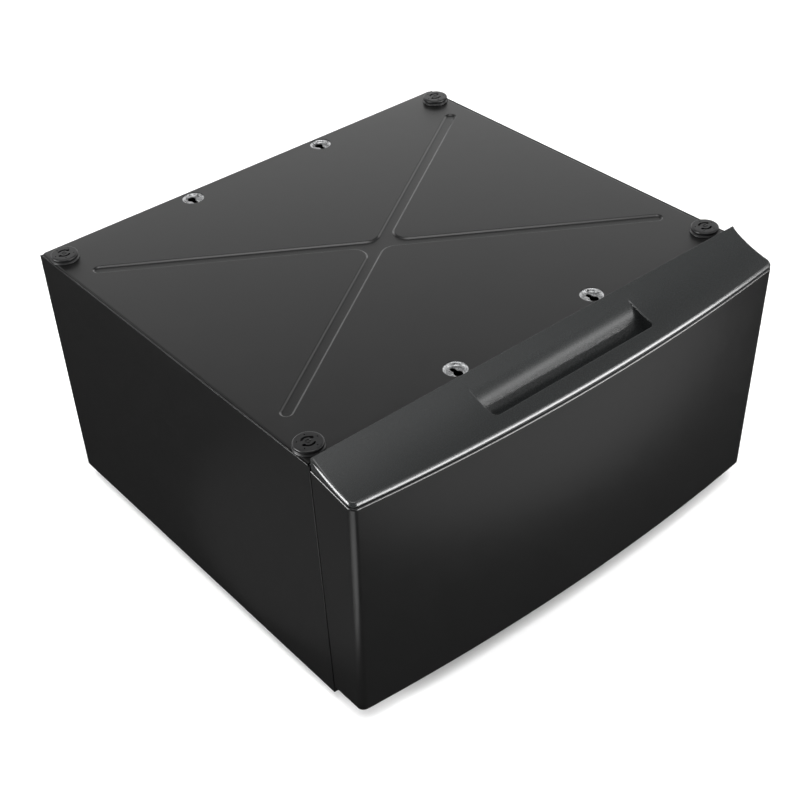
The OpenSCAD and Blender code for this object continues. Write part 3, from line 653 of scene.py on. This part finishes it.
def mount_brackets():
    """Galvanised brackets with two round dishes, each with a keyhole in its floor."""
    thickness = 1.5 * MM
    dish_r = WINDOW_R + 0.2 * MM
    floor_r = 11.7 * MM
    depth = 3.6 * MM
    for node, towards in (("front_mount_bracket", Y), ("rear_mount_bracket", -Y)):
        low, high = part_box(node)
        skin = Skin()
        rims = []
        for x in (-KEY_X, KEY_X):
            centre = Vector((x, KEY_MID_Y - towards.y * (KEY_HALF_Y - KEY_OFFSET), high.z))
            rings = [circle(centre - Z * depth * fall, dish_r + (floor_r - dish_r) * share, WINDOW_POINTS)
                     for share, fall in pressed()]
            rims.append(rings[0])
            skin.rows(rings)
            skin.fill(rings[-1], [keyhole_outline(centre - Z * depth, towards)], Z)
        folded(skin, Vector((low.x, low.y, high.z)), X, Y, (high.x - low.x, high.y - low.y),
               {"v1" if towards.y > 0 else "v0": ([(90, 10 * MM)],)}, (), rims, 2.2 * MM, thickness)
        finished(f"{node}_pressing", skin, node, thickness, 0.2 * MM)


def curved_slot(centre, start, turn, mid_r=8 * MM, half=1.5 * MM, knob=2.3 * MM):
    """Outline of a curved slot with a round knob at its start."""
    neck = asin(half / knob)
    knob_share = knob * cos(neck) / mid_r
    first, length = start + knob_share, turn - knob_share
    end = centre + polar(start + turn, mid_r)
    knob_middle = centre + polar(start, mid_r)
    return (sweep(centre, mid_r + half, first, length, 14)
            + sweep(end, half, start + turn, pi, 8)[1:-1]
            + sweep(centre, mid_r - half, first, length, 14)[::-1]
            + sweep(knob_middle, knob, start + pi / 2 + neck, 2 * pi - 2 * neck, 14)[1:-1])


def pocket(skin, outline, depth, direction):
    """Walls and floor sunk below a closed outline in a face that looks along -direction."""
    floor = [p + direction * depth for p in outline]
    skin.strip(outline, floor)
    skin.fill(floor, [], -direction)


def corner_pads():
    """Round pads: stepped rim, two curved key slots, small holes and a ring in the middle."""
    slot_depth = 4.6 * MM
    drill_depth = 3.0 * MM
    ring_r = 3.6 * MM
    for leg in LEGS:
        low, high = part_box(f"corner_pad_{leg}")
        centre = on_axis(low, high, TOP_Z)
        top = on_axis(low, high, high.z)
        height = high.z - TOP_Z
        radius = (high.x - low.x) / 2
        face_r = radius - 3.4 * MM
        profile = [(0, -6.2 * MM), (3.4 * MM, -6.2 * MM), (5.9 * MM, -1.4 * MM), (4.7 * MM, -1.2 * MM),
                   (4.7 * MM, 0), (radius - 0.8 * MM, 0),
                   *rounding((radius - 0.8 * MM, 0.8 * MM), 0.8 * MM, -90, 60, 4),
                   (radius - 1.3 * MM, 2.7 * MM), (radius - 1.5 * MM, 3.0 * MM),
                   (radius - 1.3 * MM, 3.4 * MM), (radius - 1.0 * MM, height - 2.2 * MM),
                   *rounding((face_r, height - 2.2 * MM), 2.4 * MM, 15, 90, 6, 2.2 * MM)]
        skin = Skin()
        revolve(skin, centre, Z, profile, ROUND)
        slots = [curved_slot(top, radians(turn), radians(105)) for turn in (20, 200)]
        first = 0 if "front" in leg else 36
        drills = [circle(top + polar(radians(72 * i + first), 13.2 * MM), 0.95 * MM, 14)
                  for i in range(5)]
        ring = circle(top, ring_r, 36)
        skin.fill(circle(top, face_r, ROUND), [*slots, *drills, ring], Z)
        for outline in slots:
            pocket(skin, outline, slot_depth, -Z)
        for outline in drills:
            pocket(skin, outline, drill_depth, -Z)
        boss = [circle(top - Z * down * MM, r, 36)
                for r, down in ((ring_r - 0.3 * MM, 0.8), (2.0 * MM, 0.8), (1.7 * MM, 0.2))]
        skin.rows([ring, *boss])
        skin.fill(boss[-1], [], Z)
        finished(f"{leg}_corner_pad", skin, f"corner_pad_{leg}", sharp=40)


# -------- legs and fasteners

THREAD_PITCH = 25.4 * MM / 16
THREAD_R = 4.74 * MM
THREAD_DEPTH = 0.9 * MM
THREAD_RUNOUT = 1.2 * MM
THREAD_POINTS = 24


def hex_rows(centre, corner_r, height, chamfer, bottom):
    """Rows up a hexagonal body whose corners are turned off at its top, and at its bottom if asked."""
    flat_r = corner_r * cos(pi / 6)
    turns = [2 * pi * i / ROUND for i in range(ROUND)]
    to_sides = [flat_r / cos((t + pi / 6) % (pi / 3) - pi / 6) for t in turns]
    reach = [min(distance, corner_r) for distance in to_sides]

    def row(distances, heights):
        return [centre + polar(t, d, h) for d, t, h in zip(distances, turns, heights)]

    drops = [max(r - flat_r, 0) * chamfer for r in reach]
    rows = [row([flat_r] * ROUND, [0] * ROUND)] if bottom else []
    return [*rows, row(reach, drops if bottom else [0] * ROUND),
            row(reach, [height - d for d in drops]), row([flat_r] * ROUND, [height] * ROUND)]


def nuts(name, node, lower_chamfer):
    bore_r = 4.82 * MM
    lead = 0.5 * MM
    skin = Skin()
    for low, high in islands(node):
        centre = on_axis(low, high, low.z)
        height = high.z - low.z
        rows = hex_rows(centre, (high.x - low.x) / 2, height, 0.55, lower_chamfer)
        inside = [(bore_r + lead, height), (bore_r, height - lead), (bore_r, lead), (bore_r + lead, 0)]
        rows += [circle(centre + Z * h, r, ROUND) for r, h in inside]
        skin.rows([*rows, rows[0]])
    finished(name, skin, node, sharp=30)


def thread_row(centre, z, low_z, high_z):
    """One row round the rolled 3/8-16 thread, which runs out at both its ends."""
    runout = max(0.0, min(1.0, (high_z - z) / THREAD_RUNOUT, (z - low_z) / THREAD_RUNOUT))
    row = []
    for i in range(THREAD_POINTS):
        phase = (z / THREAD_PITCH - i / THREAD_POINTS) % 1.0
        rise = min(1.0, max(0.0, (0.5 - abs(phase - 0.5)) * 2.6 - 0.15))
        r = THREAD_R - THREAD_DEPTH + THREAD_DEPTH * rise * runout
        row.append(centre + polar(2 * pi * i / THREAD_POINTS, r, z))
    return row


def studs():
    """Leg studs with a thread and a hexagon to turn them by."""
    hex_low = 7.05 * MM
    hex_high = 11 * MM
    tip_r = 3.95 * MM
    for leg in LEGS:
        low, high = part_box(f"leg_stud_{leg}")
        centre = on_axis(low, high, 0)
        skin = Skin()
        revolve(skin, centre, Z, [(0, low.z), (3.6 * MM, low.z), (tip_r, low.z + 0.4 * MM),
                                  (tip_r, hex_low)], ROUND)
        shoulder = circle(centre + Z * hex_high, THREAD_R - THREAD_DEPTH, ROUND)
        skin.rows([circle(centre + Z * hex_low, tip_r, ROUND),
                   *hex_rows(centre + Z * hex_low, (high.x - low.x) / 2, hex_high - hex_low, 0.5, True),
                   shoulder])
        skin.fill(shoulder, [], Z)
        span = high.z - hex_high
        levels = int(span / (THREAD_PITCH / 8))
        thread = [thread_row(centre, hex_high + span * k / levels, hex_high, high.z)
                  for k in range(levels + 1)]
        skin.fill(thread[0], [], -Z)
        skin.rows(thread)
        skin.fill(thread[-1], [], Z)
        finished(f"{leg}_threaded_stud", skin, f"leg_stud_{leg}", sharp=50)


def feet():
    """Moulded feet: ribbed cone, rounded rim and a shallow ring underneath."""
    socket_r = 4.05 * MM
    rim_r = 1.2 * MM
    ribs = 12
    rib_half = 0.6 * MM
    rib_points = ((11.0, 6.7), (17.4, 4.55), (18.2, 3.6), (11.0, 5.2))
    for leg in LEGS:
        low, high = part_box(f"leg_foot_{leg}")
        centre = on_axis(low, high, low.z)
        radius = (high.x - low.x) / 2
        height = high.z - low.z
        skin = Skin()
        revolve(skin, centre, Z, [
            (0, 0.6 * MM), (6 * MM, 0.6 * MM), (6.8 * MM, 0), (radius - rim_r, 0),
            *rounding((radius - rim_r, rim_r), rim_r, -90, 0, 5),
            (radius, 2.6 * MM), (radius - 0.5 * MM, 3.3 * MM), (radius - 2.0 * MM, 3.9 * MM),
            (13.2 * MM, 5.6 * MM), (11.6 * MM, 6.5 * MM), (10.4 * MM, height),
            (socket_r + 0.4 * MM, height), (socket_r, height - 0.4 * MM), (socket_r, 3 * MM), (0, 3 * MM),
        ], ROUND)
        for i in range(ribs):
            out = polar(2 * pi * i / ribs)
            aside = Z.cross(out) * rib_half
            ridge = [centre + out * r * MM + Z * h * MM for r, h in rib_points]
            left, right = [p + aside for p in ridge], [p - aside for p in ridge]
            skin.face(left)
            skin.face(right[::-1])
            skin.strip(right, left)
        finished(f"{leg}_foot_moulding", skin, f"leg_foot_{leg}")


def cross_recess(centre, axis, reach, half):
    """Outline of a cross recess in a screw's head, counted round its axis."""
    u, v = across(axis)
    points = []
    for out, left in ((u, v), (v, -u), (-u, -v), (-v, u)):
        points += [centre + out * half - left * half, centre + out * reach - left * half,
                   centre + out * reach + left * half]
    return points


def screws(name, node, head_axis, head_h=2 * MM):
    """Pan head screws. head_axis points out of the head, or is None where heads face inwards."""
    shank_r = 1.85 * MM
    recess_half = 0.42 * MM
    skin = Skin()
    for low, high in islands(node):
        middle = (low + high) / 2
        axis = head_axis or (X if middle.x < 0 else -X)
        u, v = across(axis)
        span = abs((high - low).dot(axis))
        face = middle + axis * span / 2
        head_r = abs((high - low).dot(u)) / 2
        top_r = head_r * 0.62
        crown = head_h * 0.55
        point = min(2.4 * MM, (span - head_h) / 2)
        profile = [(0, -span), (0.5 * MM, -span + point * 0.1), (shank_r * 0.8, -span + point * 0.7),
                   (shank_r, -span + point), (shank_r, -head_h), (head_r - 0.15 * MM, -head_h),
                   (head_r, -0.9 * head_h),
                   *rounding((top_r, -crown), head_r - top_r, 0, 90, 6, crown)]
        revolve(skin, face, axis, profile, 32)
        recess = cross_recess(face, axis, head_r * 0.45, recess_half)
        skin.fill(circle(face, top_r, 32, u, v), [recess], axis)
        pocket(skin, recess, head_h * 0.65, -axis)
    finished(name, skin, node)


def bumpers():
    """Domed rubber bumpers on barbed stems."""
    skin = Skin()
    for low, high in islands("drawer_bumpers"):
        middle = (low + high) / 2
        reach = FRONT_Y - low.y
        stem = high.y - FRONT_Y
        radius = (high.x - low.x) / 2
        edge = 0.5 * MM
        profile = [(0, -stem), (1.2 * MM, -stem), (1.9 * MM, -stem + 1.6 * MM), (1.6 * MM, -stem + 2 * MM),
                   (1.6 * MM, 0), (radius, 0), (radius, edge),
                   *rounding((0, edge), radius, 10, 80, 7, reach - edge), (0, reach)]
        revolve(skin, Vector((middle.x, FRONT_Y, middle.z)), -Y, profile, 40)
    finished("rubber_bumpers", skin, "drawer_bumpers", sharp=40)


# -------- slides

SLIDE_GAUGE = 1.2 * MM
SLIDE_BEND = 1.9 * MM
FLAT_HEAD_H = 1.2 * MM
FLAT_HEAD_HOLE_R = 3.75 * MM
SLIDE_SCREWS = [p.y for p in middles("inner_slide_screws") if p.x > 0]
SLIDE_Z = middles("inner_slide_screws")[0].z


def slides():
    """Supports and the three members of each ball slide, rolled with round raceways."""
    half = 30 * MM
    members = (("outer", 3.3 * MM), ("middle", 3.5 * MM), ("inner", None))
    for side, mirrored in SIDES:
        low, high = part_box("right_slide_support")
        fold = ([(90, high.x - low.x - SHEET), (-90, FLANGE)],)
        sheet_part(f"{side}_hat_support", f"{side}_slide_support", mirrored,
                   origin=Vector((low.x, high.y, SLIDE_Z - half)), u=-Y, v=Z, radius=2 * MM,
                   size=(high.y - low.y, 2 * half), edges={"v0": fold, "v1": fold},
                   holes=[(high.y - y, half, HOLE_R) for y in SLIDE_SCREWS])
        for member, lip in members:
            low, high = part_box(f"right_slide_{member}")
            width = high.z - low.z
            fold = ([(90, high.x - low.x), *([(90, lip)] if lip else [])],)
            if member == "inner":
                origin, u, hole_r = Vector((low.x, high.y, low.z)), -Y, HOLE_R
            else:
                origin, u, hole_r = Vector((high.x, low.y, low.z)), Y, FLAT_HEAD_HOLE_R
            holes = [(abs(y - origin.y), width / 2, hole_r) for y in SLIDE_SCREWS if member != "middle"]
            sheet_part(f"{side}_{member}_channel", f"{side}_slide_{member}", mirrored, SLIDE_GAUGE,
                       origin=origin, u=u, v=Z, size=(high.y - low.y, width),
                       edges={"v0": fold, "v1": fold}, holes=holes, radius=SLIDE_BEND)


# -------- drawer box

FRONT_SCREWS = [p for p in middles("drawer_front_screws") if p.x > 0]


def drawer_box():
    """Walls, floor and back of the drawer, and the sheet that closes its front."""
    low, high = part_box("drawer_right_wall")
    wall_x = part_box("right_slide_inner")[0].x
    bend = 1.5 * MM
    flange_holes = [(high.z - bend - p.z, wall_x - bend - p.x, HOLE_R) for p in FRONT_SCREWS]
    for side, mirrored in SIDES:
        sheet_part(f"{side}_wall_sheet", f"drawer_{side}_wall", mirrored, radius=bend,
                   origin=Vector((wall_x, low.y, low.z)), u=Y, v=Z, size=(high.y - low.y, high.z - low.z),
                   edges={"u0": ([(90, FLANGE)], (0.0, 2 * MM), flange_holes), "v1": ([(-90, 8 * MM)],)},
                   holes=[(y - low.y, SLIDE_Z - low.z, HOLE_R) for y in SLIDE_SCREWS])
    low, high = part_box("drawer_floor")
    sheet_part("floor_sheet", "drawer_floor", origin=Vector((low.x, low.y, low.z + SHEET)), u=X, v=Y,
               size=(high.x - low.x, high.y - low.y),
               edges={"v0": ([(-90, high.z - low.z)], (FLANGE, FLANGE))})
    upright_sheet("back_wall_sheet", "drawer_back_wall", True, {"v1": ([(90, None)],)})
    screw_places = [Vector((s * p.x, p.y, p.z)) for p in FRONT_SCREWS for s in (-1, 1)]
    upright_sheet("front_closing_sheet", "drawer_inner_panel", True, {
        "u0": ([(90, None)], (4 * MM, 1 * MM)), "u1": ([(90, None)], (1 * MM, 4 * MM)),
        "v0": ([(90, None)], (0.5 * MM, 0.5 * MM))}, screw_places)


# -------- drawer front

BOW_R = 3400 * MM
CORNER_R = 10 * MM
FACE_Y = PANEL_LOW.y
EDGE_SLOPE = 0.19
EDGE_DROP = 5.4 * MM


def edge_z(y):
    """Height of the panel's sloping top edge."""
    return TOP_Z - EDGE_DROP + EDGE_SLOPE * (y - FRONT_Y)


FACE_Z = edge_z(FACE_Y)
LEAN = atan(18 * MM / (FACE_Z - PANEL_LOW.z))
CORNER_STEPS = 8
FRONT_STEPS = 60
SIDE_STEPS = 14


def bowed_front(inset):
    """(x, y) points from the left corner's start to the right corner's end. y is 0 at the face."""
    bow_r = BOW_R - inset
    if inset < CORNER_R:
        corner_x = HALF_W - CORNER_R
        turn = asin(corner_x / (BOW_R - CORNER_R))
        corner = (-corner_x, BOW_R - (BOW_R - CORNER_R) * cos(turn))
        left = rounding(corner, CORNER_R - inset, 180, 270 - degrees(turn), CORNER_STEPS)[:-1]
    else:
        turn = asin((HALF_W - inset) / bow_r)
        left = [(-HALF_W + inset, BOW_R - bow_r * cos(turn))] * CORNER_STEPS
    turns = [-turn + 2 * turn * i / FRONT_STEPS for i in range(FRONT_STEPS + 1)]
    bow = [(bow_r * sin(t), BOW_R - bow_r * cos(t)) for t in turns]
    return left + bow + [(-x, y) for x, y in left[::-1]]


def leaning_y(plan_y, z):
    """Where a plan point lies at height z on the leaning face."""
    return FACE_Y + plan_y / cos(LEAN) - tan(LEAN) * (z - FACE_Z)


def leaning_edge_z(plan_y):
    """Height at which the leaning face meets the sloping top edge."""
    lean = tan(LEAN)
    start = FACE_Y + plan_y / cos(LEAN)
    return (edge_z(0) + EDGE_SLOPE * (start + lean * FACE_Z)) / (1 + EDGE_SLOPE * lean)


def opposite(points):
    """The same points on the other side, in reverse order."""
    return [Vector((-p.x, p.y, p.z)) for p in points[::-1]]


def panel_row(inset, height=None, drop=0.0):
    """One level row at a height, or one along the top edge with a drop."""
    row = []
    for x, plan_y in bowed_front(inset):
        z = leaning_edge_z(plan_y) - drop if height is None else height
        row.append(Vector((x, leaning_y(plan_y, z), z)))
    rear_y = PANEL_HIGH.y
    start = Vector((row[0].x, rear_y, edge_z(rear_y) - drop if height is None else height))
    side = [start.lerp(row[0], i / SIDE_STEPS) for i in range(SIDE_STEPS)]
    return side + row + opposite(side)


def drawer_front():
    """Bowed and leaning front sheet with a rolled top edge and a bent bottom."""
    bottom_r = 3.0 * MM
    roll_r = 2.8 * MM
    rows = [panel_row(bottom_r * x, PANEL_LOW.z + bottom_r * y) for x, y in rounding((1, 1), 1, 270, 180)]
    low, high = rows[-1], panel_row(0.0, None, roll_r)
    rows += [[a.lerp(b, share) for a, b in zip(low, high)] for share in (0.12, 0.3, 0.5, 0.7, 0.88)]
    rows += [panel_row(roll_r * x, None, roll_r * (2 - y)) for x, y in rounding((1, 1), 1, 180, 90)]
    rows.append(panel_row(9 * MM, None, 0.0))
    skin = Skin()
    skin.rows(rows, closed=False)
    skin.fill(rows[0], [], -Z)
    finished("bowed_front_sheet", skin, "drawer_front_panel", 1.2 * MM, sharp=40)


# -------- trim with its finger scoop

ARC_R = 185 * MM
REAR_SLOPE = radians(31.3)
ARC_CENTRE = (TRIM_HIGH.y - ARC_R * sin(REAR_SLOPE), TRIM_HIGH.z + ARC_R * cos(REAR_SLOPE))
SCOOP_X = 136.5 * MM
SCOOP_REAR = FRONT_Y - 17 * MM
SCOOP_FRONT = FRONT_Y - 69 * MM
BEND_R = 60 * MM
BOTTOM_R = 10.5 * MM
SCOOP_SLOPE = radians(58)
START_SLOPE = asin((SCOOP_REAR - ARC_CENTRE[0]) / ARC_R)
BEND = (SCOOP_REAR + BEND_R * sin(START_SLOPE), ARC_CENTRE[1] - (ARC_R + BEND_R) * cos(START_SLOPE))
BOTTOM_Y = SCOOP_FRONT + BOTTOM_R
RUN = (BEND[0] - (BEND_R + BOTTOM_R) * sin(SCOOP_SLOPE) - BOTTOM_Y) / cos(SCOOP_SLOPE)
BOTTOM_Z = BEND[1] + (BEND_R + BOTTOM_R) * cos(SCOOP_SLOPE) - RUN * sin(SCOOP_SLOPE)
TRIM_INSET = 0.4 * MM
PLAN_R = 9 * MM


def face_z(y):
    """Height of the trim's hollow upper face."""
    return ARC_CENTRE[1] - sqrt(ARC_R ** 2 - (y - ARC_CENTRE[0]) ** 2)


def on_face(point):
    return Vector((point.x, point.y, face_z(point.y)))


def scoop_z(y):
    """Height of the scoop's floor: convex bend, slope, round bottom."""
    bend_end = BEND[0] - BEND_R * sin(SCOOP_SLOPE)
    if y > bend_end:
        return BEND[1] + sqrt(max(BEND_R ** 2 - (y - BEND[0]) ** 2, 0))
    bottom_end = BOTTOM_Y + BOTTOM_R * sin(SCOOP_SLOPE)
    if y > bottom_end:
        end_z = BEND[1] + BEND_R * cos(SCOOP_SLOPE)
        return end_z - (bend_end - y) * tan(SCOOP_SLOPE)
    return BOTTOM_Z - sqrt(max(BOTTOM_R ** 2 - (y - BOTTOM_Y) ** 2, 0))


def scoop_surface(y, fall):
    """Height in the scoop where its wall has fallen by fall: the wall runs into the floor."""
    wall = face_z(y) - fall
    floor = scoop_z(y)
    blend = min(4.5 * MM, 0.6 * max(face_z(y) - floor, 1e-6))
    near = max(blend - abs(wall - floor), 0) / blend
    return max(wall, floor) + near * near * blend / 4


def bead_profile():
    """(inwards, down, turn) of the trim's rounded edge, from its upright side to its face.

    A small arc leads into a broad band that leans back, and a tighter crown ends in the face.
    """
    inwards = rise = 0.0
    steps = [(inwards, rise, 0.0)]
    for radius, start, end, count in ((1.2, 0, 18, 2), (11, 18, 38, 6), (2.2, 38, 90, 7)):
        (x0, y0), *arc = rounding((0, 0), radius * MM, start, end, count)
        steps += [(inwards + x0 - x, rise + y - y0, atan2(y, x)) for x, y in arc]
        inwards, rise, _ = steps[-1]
    return [(reach, rise - height, turn) for reach, height, turn in steps]


def trim_loop(inset, lift=None, down=0.0, rear=(0.0, 0.0)):
    """A loop round the trim, counter-clockwise from its front left corner.

    A loop with a lift lies that far above the panel's edge. The others lie down below the
    upper face, and rear is how far forward and down their rear side lies.
    """
    def at(x, y, drop):
        return Vector((x, y, face_z(y) - drop if lift is None else edge_z(y) + lift))

    rear_y = TRIM_HIGH.y - rear[0]
    points = [at(x, FACE_Y + y, down) for x, y in bowed_front(inset)]
    end = points[-1]
    right = []
    for i in range(1, SIDE_STEPS + 1):
        share = i / SIDE_STEPS
        right.append(at(end.x, end.y + (rear_y - end.y) * share, down + (rear[1] - down) * share ** 8))
    back = [at(end.x * (1 - 2 * i / FRONT_STEPS), rear_y, rear[1]) for i in range(1, FRONT_STEPS)]
    return points + right + back + opposite(right)


def scoop_loop(inward, fall):
    """A loop round the scoop that matches trim_loop point by point."""
    x_end = SCOOP_X - inward
    front_y = SCOOP_FRONT + inward
    rear_y = SCOOP_REAR - inward
    radius = max(PLAN_R - inward, 0.0)
    start_y = front_y + radius
    corner = rounding((-x_end + radius, start_y), radius, 180, 270, CORNER_STEPS)[:-1]
    side = [start_y + (rear_y - start_y) * i / SIDE_STEPS for i in range(1, SIDE_STEPS + 1)]
    plan = [*corner,
            *[((-x_end + radius) * (1 - 2 * i / FRONT_STEPS), front_y) for i in range(FRONT_STEPS + 1)],
            *[(-x, y) for x, y in corner[::-1]],
            *[(x_end, y) for y in side],
            *[(x_end * (1 - 2 * i / FRONT_STEPS), rear_y) for i in range(1, FRONT_STEPS)],
            *[(-x_end, y) for y in side[::-1]]]
    return [Vector((x, y, scoop_surface(y, fall))) for x, y in plan]


def trim():
    """The moulding on the drawer front: skirt, shadow groove, rounded edge, hollow face and scoop."""
    groove = 2.2 * MM
    lip = 0.5 * MM
    seat = 0.05 * MM
    rear_r = 1.2 * MM
    face_rings = 12
    rim_r = 1.8 * MM
    steep = radians(86)
    loops = [trim_loop(inset, lift) for inset, lift in (
        (12 * MM, -8 * MM), (9.6 * MM, -8 * MM), (9.6 * MM, seat), (3 * MM, seat), (3 * MM, groove),
        (TRIM_INSET + lip, groove), (TRIM_INSET, groove + lip))]
    for inwards, down, turn in bead_profile():
        rear = (rear_r * (1 - cos(turn)), rear_r * (1 - sin(turn)))
        loops.append(trim_loop(TRIM_INSET + inwards, None, down, rear))
    face_edge = loops[-1]
    rim = [on_face(p) for p in scoop_loop(0.0, 0.0)]
    for i in range(1, face_rings + 1):
        loops.append([on_face(a.lerp(b, i / face_rings)) for a, b in zip(face_edge, rim)])
    for turn in (20, 40, 60, 75, 86):
        t = radians(turn)
        loops.append(scoop_loop(rim_r * sin(t), rim_r * (1 - cos(t))))
    start, fall = rim_r * sin(steep), rim_r * (1 - cos(steep))
    for inward in (0.3, 0.6, 0.9, 1.2, 1.5, 1.9, 2.4, 3.2, 4.4, 5.8, 7.2):
        loops.append(scoop_loop(start + inward * MM, fall + inward * MM * tan(steep)))
    skin = Skin()
    skin.rows(loops)
    inner = loops[-1]
    front_end = CORNER_STEPS + FRONT_STEPS + 1
    front = inner[CORNER_STEPS:front_end]
    right = inner[front_end + CORNER_STEPS:][:SIDE_STEPS]
    rows = [[Vector((p.x, side.y, scoop_z(side.y))) for p in front] for side in right]
    skin.rows([front, *rows], closed=False)
    finished("trim_moulding", skin, "drawer_top_trim", 1.6 * MM, sharp=50, even=False)


# -------- build

side_panels()
top_panel()
plain_panels()
leg_plates()
mount_brackets()
corner_pads()
nuts("weld_nuts", "leg_weld_nuts", False)
nuts("lock_nuts", "leg_lock_nuts", True)
studs()
feet()
screws("back_screws", "back_panel_screws", Y)
screws("front_screws", "drawer_front_screws", Y)
screws("wall_screws", "inner_slide_screws", None)
screws("support_screws", "outer_slide_screws", None, FLAT_HEAD_H)
bumpers()
slides()
drawer_box()
drawer_front()
trim()

# -------- studio

def area_light(name, place, aim, size, power):
    """A lamp the camera doesn't see. A card is round, and a fill isn't mirrored."""
    light = bpy.data.lights.new(name, "AREA")
    light.shape = "ELLIPSE" if name.endswith("card") else "RECTANGLE"
    light.size, light.size_y = size
    light.energy = power
    lamp = bpy.data.objects.new(name, light)
    lamp.location = place
    lamp.visible_camera = False
    lamp.visible_glossy = not name.endswith("fill")
    lamp.rotation_mode = "QUATERNION"
    lamp.rotation_quaternion = (Vector(aim) - Vector(place)).to_track_quat("-Z", "Y")
    bpy.context.scene.collection.objects.link(lamp)


def studio_floor():
    reach = 9.0
    skin = Skin()
    corners = ((-reach, -reach), (reach, -reach), (reach, reach), (-reach, reach))
    skin.face([Vector((x, y, 0)) for x, y in corners])
    floor = as_object("studio_floor", skin, False)
    material, shader, coords = new_material("studio_paper", 0.0, 0.9, 0.1)
    tone = ramp(noise(coords, 0.7), shades((0.86, 0.86, 0.86), (0.985, 1.0, 1.01)))
    drive(shader, "Base Color", tone)
    floor.data.materials.append(material)
    floor.visible_glossy = False


def greys(*stops):
    """Ramp stops of plain greys."""
    return [(place, (grey,) * 3) for place, grey in stops]


def studio_world():
    """What the object mirrors: a bright horizon behind it, a dim one before it, and a soft top.

    Above a bright band the sky behind darkens, brightens again near the zenith and is dim at the
    zenith itself. The camera sees a plain pale grey instead.
    """
    world = bpy.data.worlds.new("studio")
    bpy.context.scene.world = world
    world.use_nodes = True
    nodes = world.node_tree.nodes
    place = nodes.new("ShaderNodeTexCoord").outputs["Generated"]
    height = spread(fed(place, "SeparateXYZ", "Vector").outputs["Z"], 0.0, 1.0, -1.0, 1.0)
    behind = ramp(height, greys(
        (0.0, 0.01), (0.5, 0.03), (0.55, 2.8), (0.65, 2.0), (0.72, 0.86), (0.75, 0.53),
        (0.775, 0.4), (0.81, 0.18), (0.86, 0.06), (0.93, 0.3), (0.955, 0.6), (1.0, 0.12)))
    before = ramp(height, greys(
        (0.0, 0.01), (0.5, 0.03), (0.76, 0.06), (0.84, 0.08), (0.9, 0.62), (0.955, 1.0), (1.0, 0.15)))
    towards = nodes.new("ShaderNodeVectorMath")
    towards.operation = "DOT_PRODUCT"
    towards.inputs[1].default_value = (0.6, 0.8, 0)
    drive(towards, 0, place)
    blend = mixed(spread(towards.outputs["Value"], 0.0, 1.0, 0.1, 0.45), before, behind)
    by_camera = nodes.new("ShaderNodeLightPath").outputs["Is Camera Ray"]
    drive(nodes["Background"], "Color", mixed(by_camera, blend, (0.93, 0.93, 0.93, 1)))


def camera():
    """The photo's view, solved from the cabinet's edges."""
    place = Vector((-1.0402, -1.3329, 1.4475))
    aim = Vector((-0.0673, -0.0617, 0.2200))
    roll = radians(3.67)
    forward = (aim - place).normalized()
    level_right = forward.cross(Z).normalized()
    level_up = level_right.cross(forward)
    up = level_up * cos(roll) + level_right * sin(roll)
    right = forward.cross(up)
    lens = bpy.data.cameras.new("camera")
    lens.sensor_width = 36.0
    lens.lens = 66.44
    eye = bpy.data.objects.new("camera", lens)
    turn = Matrix((right, up, -forward)).transposed().to_4x4()
    eye.matrix_world = Matrix.Translation(place) @ turn
    bpy.context.scene.collection.objects.link(eye)
    bpy.context.scene.camera = eye


studio_floor()
studio_world()
camera()
area_light("front_box", (1.19, -2.8, 0.46), (-0.1, -0.4, 0.38), (2.6, 0.9), 165)
area_light("scoop_box", (1.75, -2.4, 1.8), (0, -0.3, 0.38), (2.4, 0.5), 20)
area_light("left_box", (-2.75, 0.75, 0.62), (-0.35, -0.1, 0.38), (1.7, 0.7), 112)
area_light("overhead_box", (-0.6, -0.9, 3.4), (0, 0, 0.3), (2.0, 1.4), 35)
area_light("front_card", (0.27, -0.71, 0.01), (0.27, -0.71, 1), (1.05, 0.46), 0.55)
area_light("left_card", (-0.62, -0.47, 0.01), (-0.62, -0.47, 1), (0.3, 0.5), 0.6)
area_light("left_dim_card", (-0.55, -0.05, 0.01), (-0.55, -0.05, 1), (0.36, 0.6), 0.035)
area_light("floor_fill", (0, 0, 4.5), (0, 0, 0), (7.0, 7.0), 300)
bpy.context.scene.view_settings.view_transform = "Standard"
